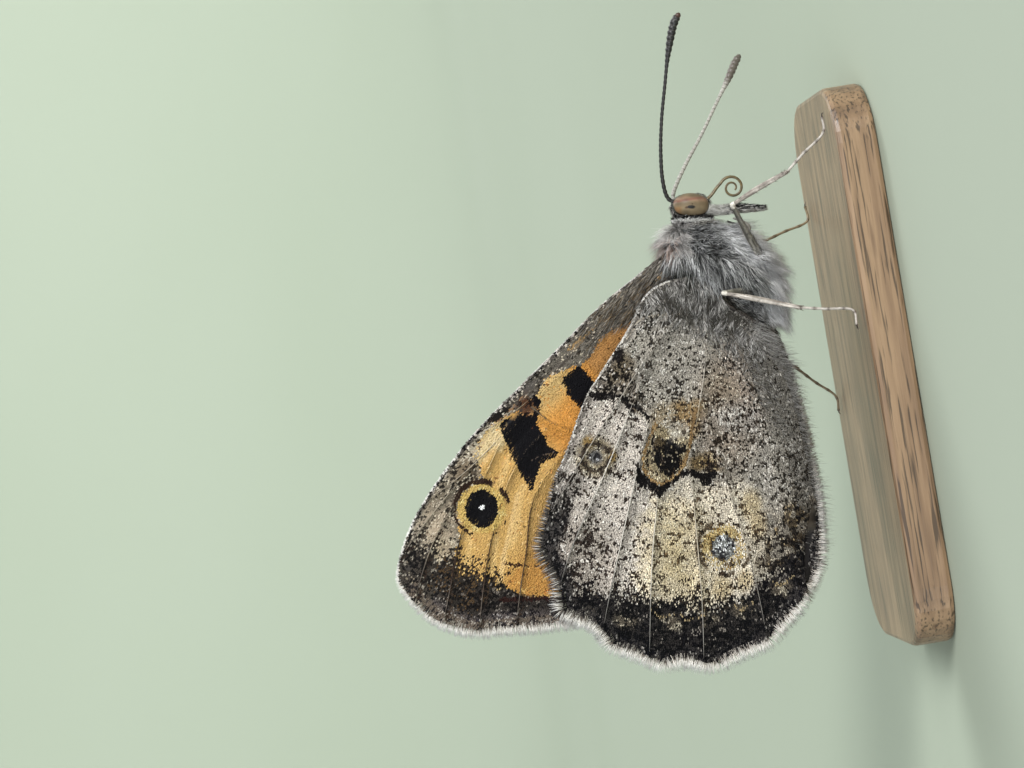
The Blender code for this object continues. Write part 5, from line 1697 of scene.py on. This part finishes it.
def lay_rear_margin(paint, gap, cloud, fine):
    """The dark margin, whose inner edge breaks up into flecks, and the pale scallops in it."""
    p, q = paint.p, paint.q
    paint.lay(
        paint.area(DARK_CORNER, 1.2, 0.5) * (0.35 + 0.65 * (fine > 0.5)), (80, 70, 56), (22, 19, 17),
        (160, 140, 108), 0.42, 0.12,
    )
    past = p - np.interp(q, *zip(*MARGIN_START)) + 0.6 * (fine - 0.5) + 0.4 * (cloud - 0.5)
    flecks = paint.broken(cover(past + 0.8, 2.2) * 0.44 * (0.3 + 1.4 * fine) * (q > -5.8))
    paint.lay(flecks, (60, 51, 42), (26, 22, 19), dark_share=0.4, light_share=0.05)
    band = paint.broken(cover(past, 0.9) * blend(1.0, 0.8, ease((q - 5.0) / 2.0)))
    paint.lay(band, (42, 39, 38), (8, 8, 11), (126, 119, 112), 0.50, 0.09)
    for centre in SCALLOPS:
        arc = paint.blob(centre, (0.42, 0.62), 0.9) * (0.35 + 0.65 * (fine > 0.42)) * band
        paint.lay(arc * 0.85, (104, 95, 82), (34, 31, 29), (182, 172, 152), 0.26, 0.22)
    outer = ease((1.55 - gap) / 0.3) * ease((p - 11.0) / 2.0)
    paint.lay(outer * 0.7, (56, 53, 53), (12, 12, 16), (140, 136, 132), 0.42, 0.13)
    for points in (
        ((14.9, -4.9), (15.7, -4.3), (15.3, -3.4)), ((15.9, -2.3), (16.4, -1.8), (16.0, -1.1)),
        ((15.3, -5.4), (16.2, -5.0), (17.0, -4.7)),
    ):
        paint.line(points, 0.14, (24, 21, 22), 0.7, 0.12)
    for points in (
        ((16.4, 0.9), (16.7, 1.4), (16.4, 2.1)), ((15.6, 3.5), (15.9, 4.0), (15.4, 4.5)),
        ((14.3, 5.3), (14.4, 5.9), (13.8, 6.4)), ((16.4, -0.6), (16.75, 0.1), (16.5, 0.6)),
    ):
        paint.line(points, 0.12, (158, 140, 108), 0.6, 0.1)


def lay_zigzag(paint):
    """The zigzag line, the blotches and the short dark bars."""
    paint.line(ZIGZAG, 0.14, (18, 15, 16), 1.0, 0.1)
    for centre, semi in (
        ((6.12, -4.1), (0.2, 0.5)), ((6.18, -4.55), (0.2, 0.34)), ((6.5, -2.6), (0.16, 0.42)),
        ((6.15, -3.15), (0.14, 0.24)),
    ):
        paint.solid(paint.blob(centre, semi, 0.6), (18, 15, 16))
    paint.solid(paint.blob((4.0, -3.72), (0.34, 0.3), 0.8) * 0.85, (28, 24, 24))
    paint.line(((4.4, -4.2), (4.9, -3.9), (5.1, -3.4)), 0.12, (34, 29, 26), 0.7, 0.12)
    paint.line(((5.0, -2.4), (5.5, -2.1), (5.7, -1.6)), 0.10, (40, 34, 30), 0.6, 0.12)
    paint.line(((5.9, -0.75), (6.0, -0.1), (5.9, 0.5)), 0.09, (52, 42, 32), 0.7, 0.1)
    paint.line(((11.0, -5.6), (11.7, -5.3), (12.4, -5.5)), 0.16, (36, 31, 30), 0.7, 0.12)
    for points in (
        ((10.9, -4.6), (11.3, -4.1), (11.1, -3.4)), ((11.7, 0.0), (12.0, 0.45), (11.8, 0.9)),
        ((12.2, -1.9), (12.5, -1.5), (12.2, -1.0)), ((13.5, -3.5), (13.9, -3.1), (13.7, -2.5)),
    ):
        paint.line(points, 0.10, (66, 56, 44), 0.6, 0.12)
    paint.line(
        ((3.3, -3.5), (2.04, -2.8), (1.71, -1.8), (1.55, -0.8), (1.45, 0.2)), 0.09, (176, 166, 150), 0.6,
    )


def lay_faint_eyespot(paint, fine):
    """The faint eyespot near the leading edge."""
    p, q = paint.p, paint.q
    reach = np.hypot(p - FAINT_SPOT[0], q - FAINT_SPOT[1])
    paint.lay(ease((1.25 - reach) / 0.5) * 0.8, (138, 124, 98), (52, 44, 36), (194, 184, 160), 0.30, 0.16)
    paint.lay(
        paint.blob((8.5, -4.7), (0.3, 0.25), 0.9) * 0.8 + paint.blob((9.05, -3.4), (0.28, 0.2), 0.9) * 0.8,
        (152, 122, 70),
    )
    paint.lay(ease((0.50 - reach) / 0.3), (110, 108, 108), (40, 39, 42), (190, 190, 192), 0.38, 0.16)
    paint.lay(
        ease((0.13 - np.abs(reach - 0.68)) / 0.1) * (fine > 0.35), (60, 52, 44), dark_share=0.6,
        light_share=0.0,
    )
    paint.line(((10.0, -4.9), (10.25, -4.3), (10.05, -3.6)), 0.12, (58, 46, 36), 0.7, 0.12)
    paint.line(((9.5, -3.2), (9.9, -2.9), (9.8, -2.6)), 0.16, (48, 40, 34), 0.6, 0.12)


def lay_cell_mark(paint):
    """The black mark at the end of the cell."""
    p, q = paint.p, paint.q
    cell = paint.area(CELL_OUTLINE, 0.2, 0.08)
    paint.lay(cell, (156, 142, 114), (40, 33, 27), (204, 192, 164), 0.30, 0.14)
    paint.lay(
        paint.area(PALE_CELL_END, 0.3, 0.15) * 0.6, (176, 171, 164), (80, 72, 64), (220, 216, 210), 0.2,
        0.3,
    )
    blot = paint.area(CELL_BLACK, 0.2, 0.12) * blend(0.55, 1.25, mottle(p, q, 0.13, 64))
    paint.lay(paint.broken(blot), (15, 13, 14), (10, 9, 11), (128, 118, 104), 0.2, 0.07)
    paint.lay(
        paint.blob((8.1, -1.15), (0.35, 0.28), 0.8) * 0.8, (112, 96, 70), (40, 33, 27), light_share=0.1,
    )
    paint.line(CELL_RING, 0.15, (134, 108, 74), 0.9, 0.1)
    paint.line(CELL_RING[:9], 0.06, (172, 142, 98), 0.8, 0.05)
    paint.solid(paint.area(CELL_UNDER, 0.12, 0.05), (15, 13, 14))
    paint.lay(paint.area(BROWN_BESIDE, 0.4, 0.2), (112, 94, 66), (32, 25, 21), (172, 152, 116), 0.42, 0.10)
    paint.solid(paint.area(CRESCENT, 0.12, 0.05), (15, 13, 14))
    paint.line(((9.72, -0.05), (9.45, 0.25), (9.36, 0.75)), 0.24, (15, 13, 14), 1.0, 0.1)
    paint.line(((9.3, 2.2), (9.7, 2.6), (9.6, 3.1)), 0.14, (50, 42, 34), 0.6, 0.12)


def lay_rear_eyespot(paint, fine):
    """The eyespot in the beige zone."""
    p, q = paint.p, paint.q
    near_p, near_q = p - HIND_SPOT[0], q - HIND_SPOT[1]
    reach = np.hypot(near_p, near_q) + 0.14 * (fine - 0.5)
    turn = np.arctan2(near_q, near_p)
    dark_ring = ease((0.14 - np.abs(reach - 1.32)) / 0.1) * (
        (turn < -0.6) & (turn > -2.6) | (mottle(p, q, 0.4, 65) > 0.55)
    )
    paint.lay(dark_ring * 0.8, (70, 56, 40), (36, 29, 22), dark_share=0.5, light_share=0.03)
    faded = blend(0.5, 1.0, ease((0.4 - near_p * 0.7 - near_q * 0.5) / 1.2))
    paint.lay(
        paint.broken(cover(1.10 - reach, 0.35) * faded), (188, 165, 116), (98, 78, 46),
        (214, 196, 150), 0.16, 0.14,
    )
    paint.lay(
        paint.broken(cover(0.62 - reach, 0.16)), (134, 135, 132), (52, 52, 56),
        (216, 218, 218), 0.36, 0.20,
    )
    paint.solid(cover(0.10 - np.hypot(near_p - 0.1, near_q - 0.05), 0.04), (238, 238, 238))


def paint_hindwing(wing, p, q, rng, flecked=True):
    """Marbled like bark, with a black cell mark, two faint eyespots and a dark margin."""
    paint = Paint(p, q, (158, 152, 142), (54, 49, 43), (204, 198, 189), 0.17, 0.14, rng)
    cloud = mottle(p, q, 0.8, 61)
    fine = mottle(p, q, 0.35, 62)
    gap = margin_gap(wing, p, q)
    paint.lay(paint.area(LILAC_ZONE, 0.6, 0.3), (200, 191, 181), (52, 43, 37), (226, 219, 210), 0.13, 0.07)
    paint.lay(
        paint.blob((14.3, -4.5), (1.9, 1.9), 1.1) * 0.6, (146, 136, 126), (46, 38, 34), dark_share=0.34,
    )
    paint.lay(paint.area(BEIGE_ZONE, 0.7, 0.3), (218, 207, 188), (72, 60, 47), (232, 223, 206), 0.11, 0.07)
    paint.lay(
        paint.area(YELLOW_ZONE, 2.2, 0.4) * blend(0.7, 1.0, fine), (202, 185, 147), (84, 69, 47),
        (222, 209, 175),
    )
    for centre, semi in (
        ((10.6, 3.8), (0.7, 0.5)), ((11.6, 4.3), (0.6, 0.4)), ((14.9, 2.9), (0.6, 0.5)),
        ((14.4, 4.0), (0.5, 0.4)),
    ):
        paint.lay(paint.blob(centre, semi, 1.0) * 0.6, (172, 152, 112), (92, 72, 48), (208, 190, 150))
    # The side towards the body is greyer and hairy, and brown beside the cell.
    rear = ease((q - np.interp(p, (0, 4, 7.8, 11, 14, 17), (-0.6, 1.9, 4.4, 5.4, 5.4, 4.4))) / 1.6)
    brown = paint.blob((5.9, 2.1), (3.2, 1.6), 1.0)
    paint.lay(brown, (148, 136, 123), (42, 34, 27), (206, 196, 183), 0.22, 0.14)
    paint.lay(
        paint.blob((5.0, 1.6), (1.0, 0.9), 1.0) * (0.15 + 0.35 * fine), (138, 123, 102), (60, 46, 32),
        (196, 180, 152),
    )
    paint.lay(
        paint.blob((6.4, 2.6), (0.8, 1.2), 1.0) * 0.7, (158, 152, 145), light=(202, 198, 192),
        light_share=0.3,
    )
    paint.lay(rear, (102, 98, 91), (38, 34, 28), (150, 146, 139), 0.18, 0.14)
    paint.lay(ease((3.2 - p) / 2.0), (138, 133, 126), (56, 52, 47), (196, 191, 184), 0.20, 0.16)
    paint.lay(
        paint.area(OCHRE_STREAKS, 0.5, 0.2), (138, 116, 84), (56, 42, 30), (186, 172, 146), 0.24, 0.16,
    )
    paint.lay(
        paint.blob((6.9, -1.2), (0.8, 0.5), 1.0) * 0.7, (140, 124, 98), (54, 42, 30), (206, 196, 178), 0.26,
        0.2,
    )
    paint.lay(
        paint.area(BEFORE_ZIGZAG, 0.4, 0.25), (124, 115, 104), (24, 20, 17), (196, 188, 178), 0.38, 0.18,
    )
    paint.lay(paint.blob((4.6, -3.6), (0.8, 0.7), 1.0) * 0.5, (126, 110, 84))
    paint.ground = paint.ground * blend(0.93, 1.13, cloud)[:, None]
    shade_rear_veins(paint, wing)
    lay_rear_edge(paint, gap, fine)
    lay_rear_margin(paint, gap, cloud, fine)
    lay_zigzag(paint)
    lay_faint_eyespot(paint, fine)
    lay_cell_mark(paint)
    lay_rear_eyespot(paint, fine)
    return paint.finish(0.05, flecked)


def vein_ends(wing, p, q):
    """1 at the ends of the veins on the margin."""
    near = np.zeros(len(p))
    for path in wing.veins.values():
        near = np.maximum(near, ease((0.50 - np.hypot(p - path[-1][0], q - path[-1][1])) / 0.35))
    return near


def paint_fringe(wing, p, q, short, rng):
    """White tips over a fawn row, darker where a vein reaches the margin."""
    count = len(p)
    ends = vein_ends(wing, p, q)[:, None] * 0.85
    white = blend(rgb(228, 225, 218), rgb(254, 254, 252), rng.uniform(0, 1, (count, 1)))
    fawn = blend(rgb(112, 100, 90), rgb(178, 164, 146), rng.uniform(0, 1, (count, 1)))
    dusk = blend(rgb(24, 23, 26), rgb(78, 74, 72), rng.uniform(0, 1, (count, 1)))
    tips = np.where(short[:, None], fawn, white)
    roots = np.where(short[:, None], dusk, blend(fawn, white, 0.45))
    if wing.data is HINDWING:
        plain = np.maximum(0.85 * ease((-4.4 - q) / 1.0), (q > 0) * ease((5.5 - p) / 2.0))
        front = (rng.uniform(0, 1, count) < plain)[:, None]
        tips = np.where(front, blend(dusk, fawn, 0.5), tips)
        roots = np.where(front, dusk, roots)
    hit = rng.uniform(0, 1, (count, 1)) < ends
    return np.where(hit, dusk * 0.7, roots), np.where(hit, dusk, tips)


def add_wing_hair(name, wing, side, p, q, run, size, width, lift, roots, tips, material, rng):
    """Hairs rooted on a wing's outer face. Their colours are screen values."""
    relief = wing.relief(wing.vein_distance(p, q)) + SKIN_THICK / 2
    root = wing.point(p, q, side, relief)
    ahead = wing.point(p + run[:, 0] * 0.2, q + run[:, 1] * 0.2, side, relief)
    normal = np.tile((0.0, side, 0.0), (len(p), 1))
    unwrap = (np.c_[p, q] + WING_UNWRAP_START) / WING_UNWRAP_SPAN
    mesh = hairs(
        root, unit(ahead - root), normal, size, width, linear(roots), linear(tips), unwrap, lift, rng,
    )
    add_piece(name, mesh, material)


def hair_shades(count, rng, dark, pale, lean=1.0):
    """Root and tip colours between two screen colours."""
    share = rng.uniform(0, 1, (count, 1)) ** lean
    tips = blend(rgb(*dark), rgb(*pale), share)
    return tips * 0.62, tips


def scatter_on_wing(wing, p_range, q_range, tries, most, chance, rng):
    """Random places on a wing, kept by a chance that depends on the place."""
    p = rng.uniform(*p_range, tries)
    q = rng.uniform(*q_range, tries)
    keep = is_inside(p, q, wing.edge) & (rng.uniform(0, 1, tries) < chance(p, q))
    return p[keep][:most], q[keep][:most]


def make_rear_hair(name, wing, side, material):
    """Fine grey hairs on the rear wing along its inner side, lying towards the margin."""
    rng = np.random.default_rng(SEED + 6)
    begins = ((0, 1.5, 3.0, 4.5, 7.8, 11.0, 13.6, 16.0), (-2.6, -1.8, -0.4, 1.5, 4.5, 5.7, 6.4, 7.0))

    def chance(p, q):
        return ease((q - np.interp(p, *begins)) / 2.2) * 0.7

    p, q = scatter_on_wing(wing, (0.5, 17.0), (-3.5, 8.3), 60000, REAR_HAIRS, chance, rng)
    count = len(p)
    near_edge = ease((1.3 - margin_gap(wing, p, q)) / 0.9) * (q > 2.5)
    lean = np.interp(q, (-3, 1, 4, 8), (0.3, 0.5, 0.8, 0.95)) + 0.2 * near_edge
    run = unit(np.c_[1.05 - lean + rng.normal(0, 0.10, count), lean * 0.8 + rng.normal(0, 0.10, count)])
    size = blend(0.40, 1.10, near_edge) * rng.uniform(0.65, 1.2, count)
    roots, tips = hair_shades(count, rng, (70, 66, 62), (206, 202, 196), 1.3)
    tips = tint(tips, (240, 238, 234), near_edge * 0.9)
    width = blend(0.028, 0.018, near_edge)
    add_wing_hair(name, wing, side, p, q, run, size, width, 0.12, roots, tips, material, rng)


def make_root_hair(name, wing, side, material):
    """Long grey hairs that stream from the shoulder over the rear wing's root."""
    rng = np.random.default_rng(SEED + 7)

    def chance(p, q):
        return ease((np.interp(q, (-2, 0, 3), (2.2, 2.8, 4.2)) - p) / 2.0) * 0.8

    p, q = scatter_on_wing(wing, (-0.25, 4.2), (-3.4, 3.4), 12000, ROOT_HAIRS, chance, rng)
    count = len(p)
    swirl = (mottle(p, q, 0.45, 71) - 0.5) * 2.4
    run = unit(np.c_[np.ones(count), 0.1 + swirl + rng.normal(0, 0.25, count)])
    size = np.interp(p, (0, 1.2, 3.5), (0.95, 0.7, 0.4)) * rng.uniform(0.5, 1.15, count)
    lift = np.interp(p, (0, 1.5, 4.0), (0.5, 0.30, 0.14))
    roots, tips = hair_shades(count, rng, (70, 67, 63), (246, 242, 236), 1.1)
    shadow = (mottle(p * 1.3, q, 0.4, 72) > 0.62)[:, None] * (p < 2.2)[:, None]
    tips = blend(tips, rgb(74, 70, 62), shadow * 0.8)
    roots = blend(roots, rgb(40, 38, 34), shadow * 0.8)
    add_wing_hair(name, wing, side, p, q, run, size, 0.046, lift, roots, tips, material, rng)


def make_front_hair(name, wing, side, material):
    """Flat streaky hairs along the front wing's leading edge near its root."""
    rng = np.random.default_rng(SEED + 8)

    def chance(p, q):
        return ease((7.0 - p) / 4.5) * (q < np.interp(p, *zip(*COSTA_LIMIT)) + 0.1)

    p, q = scatter_on_wing(wing, (0.0, 7.0), (-1.4, 1.2), 14000, FRONT_HAIRS, chance, rng)
    count = len(p)
    run = unit(np.c_[np.ones(count), 0.04 + rng.normal(0, 0.06, count)])
    size = np.interp(p, (0, 3, 7), (1.0, 0.8, 0.45)) * rng.uniform(0.6, 1.2, count)
    roots, tips = hair_shades(count, rng, (52, 47, 42), (222, 214, 200), 1.3)
    warm = (rng.uniform(0, 1, (count, 1)) < 0.25) * (p > 1.0)[:, None]
    tips = np.where(warm > 0, blend(tips, rgb(158, 128, 88), 0.7), tips)
    add_wing_hair(name, wing, side, p, q, run, size, 0.032, 0.10, roots, tips, material, rng)


def make_wings(materials):
    forewing = Wing(FOREWING, forewing_level)
    hindwing = Wing(HINDWING, hindwing_level)

    def shows(p, q):
        """Whether a place on the front wing isn't well under the rear one."""
        x = FOREWING["hinge"][0] + FOREWING["along"][0] * p + FOREWING["across"][0] * q
        z = FOREWING["hinge"][1] + FOREWING["along"][1] * p + FOREWING["across"][1] * q
        x, z = x - HINDWING["hinge"][0], z - HINDWING["hinge"][1]
        rear_p = x * HINDWING["along"][0] + z * HINDWING["along"][1]
        rear_q = x * HINDWING["across"][0] + z * HINDWING["across"][1]
        under = is_inside(rear_p, rear_q, hindwing.edge)
        return ~under | (path_distance(rear_p, rear_q, hindwing.rim)[0] < 1.6)

    def everywhere(p, q):
        return np.ones(np.broadcast(p, q).shape, bool)

    for letter, side in SIDES:
        for kind, wing, paint, covered, scales in (
            ("forewing", forewing, paint_forewing, shows, "scales"),
            ("hindwing", hindwing, paint_hindwing, everywhere, "rear_scales"),
        ):
            stem = f"{kind}_{letter}"
            make_wing_skin(f"{stem}_skin", wing, side, paint, materials["membrane"], stem)
            make_scales(f"{stem}_scales", wing, side, paint, covered, materials[scales])
            make_fringe(f"{stem}_fringe", wing, side, paint_fringe, materials["hair"])
        make_rear_hair(f"hindwing_{letter}_hair", hindwing, side, materials["hair"])
        make_root_hair(f"hindwing_{letter}_root_hair", hindwing, side, materials["hair"])
        make_front_hair(f"forewing_{letter}_hair", forewing, side, materials["hair"])


def make_floor(material):
    """A pale floor that curves up into a backdrop."""
    depth, rise, bend, half_width, segments = 0.7, 0.8, 0.3, 1.6, 24
    profile = [(-0.9, 0.0), (depth - bend, 0.0)]
    for index in range(1, segments + 1):
        angle = index / segments * math.pi / 2
        profile.append((depth - bend + bend * math.sin(angle), bend - bend * math.cos(angle)))
    profile.append((depth, rise))
    points = np.array([(x, y, z) for y, z in profile for x in (-half_width, half_width)])
    low = np.arange(len(profile) - 1) * 2
    triangles = np.vstack((np.c_[low, low + 1, low + 3], np.c_[low, low + 3, low + 2]))
    mesh = solid_mesh(points, triangles)
    mesh.name = "floor"
    mesh.materials.append(material)
    floor = bpy.data.objects.new("floor", mesh)
    bpy.context.scene.collection.objects.link(floor)


def make_light():
    """A soft sky and three large lamps."""
    world = bpy.data.worlds.new("studio")
    world.use_nodes = True
    background = world.node_tree.nodes["Background"]
    background.inputs["Color"].default_value = SKY_COLOUR
    background.inputs["Strength"].default_value = SKY_STRENGTH
    bpy.context.scene.world = world

    centre = Vector(LAMP_AIM)
    for name, where, size, power, colour in LAMPS:
        lamp = bpy.data.lights.new(name, "AREA")
        lamp.size = size
        lamp.energy = power
        lamp.color = colour
        thing = bpy.data.objects.new(name, lamp)
        thing.location = where
        thing.rotation_euler = (centre - Vector(where)).to_track_quat("-Z", "Y").to_euler()
        bpy.context.scene.collection.objects.link(thing)


def make_camera():
    """The camera at the photo's angle, turned so that the insect's head is up in the frame."""
    camera = bpy.data.cameras.new("camera")
    camera.lens = LENS
    camera.sensor_width = SENSOR_WIDTH
    camera.clip_start = 0.001
    camera.clip_end = 10.0
    thing = bpy.data.objects.new("camera", camera)
    forward = Vector((0.0, math.cos(CAMERA_ELEVATION), -math.sin(CAMERA_ELEVATION)))
    right = forward.cross(Vector(CAMERA_UP)).normalized()
    up = right.cross(forward)
    turn = Matrix((right, up, -forward)).transposed().to_4x4()
    spot = (Vector(AIM) - forward * CAMERA_DISTANCE) * MM
    thing.matrix_world = Matrix.Translation(spot) @ turn
    bpy.context.scene.collection.objects.link(thing)
    bpy.context.scene.camera = thing
    bpy.context.scene.view_settings.view_transform = "Standard"


def main():
    materials = make_materials()
    make_floor(materials["floor"])
    make_light()
    make_camera()
    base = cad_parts["stand_base"]
    base.data.materials.clear()
    base.data.materials.append(materials["wood"])
    make_wings(materials)
    make_body_skin(materials)
    make_body_hair(materials)
    make_eyes(materials)
    make_antennae(materials)
    make_palps(materials)
    make_proboscis(materials)
    make_legs(materials)


main()
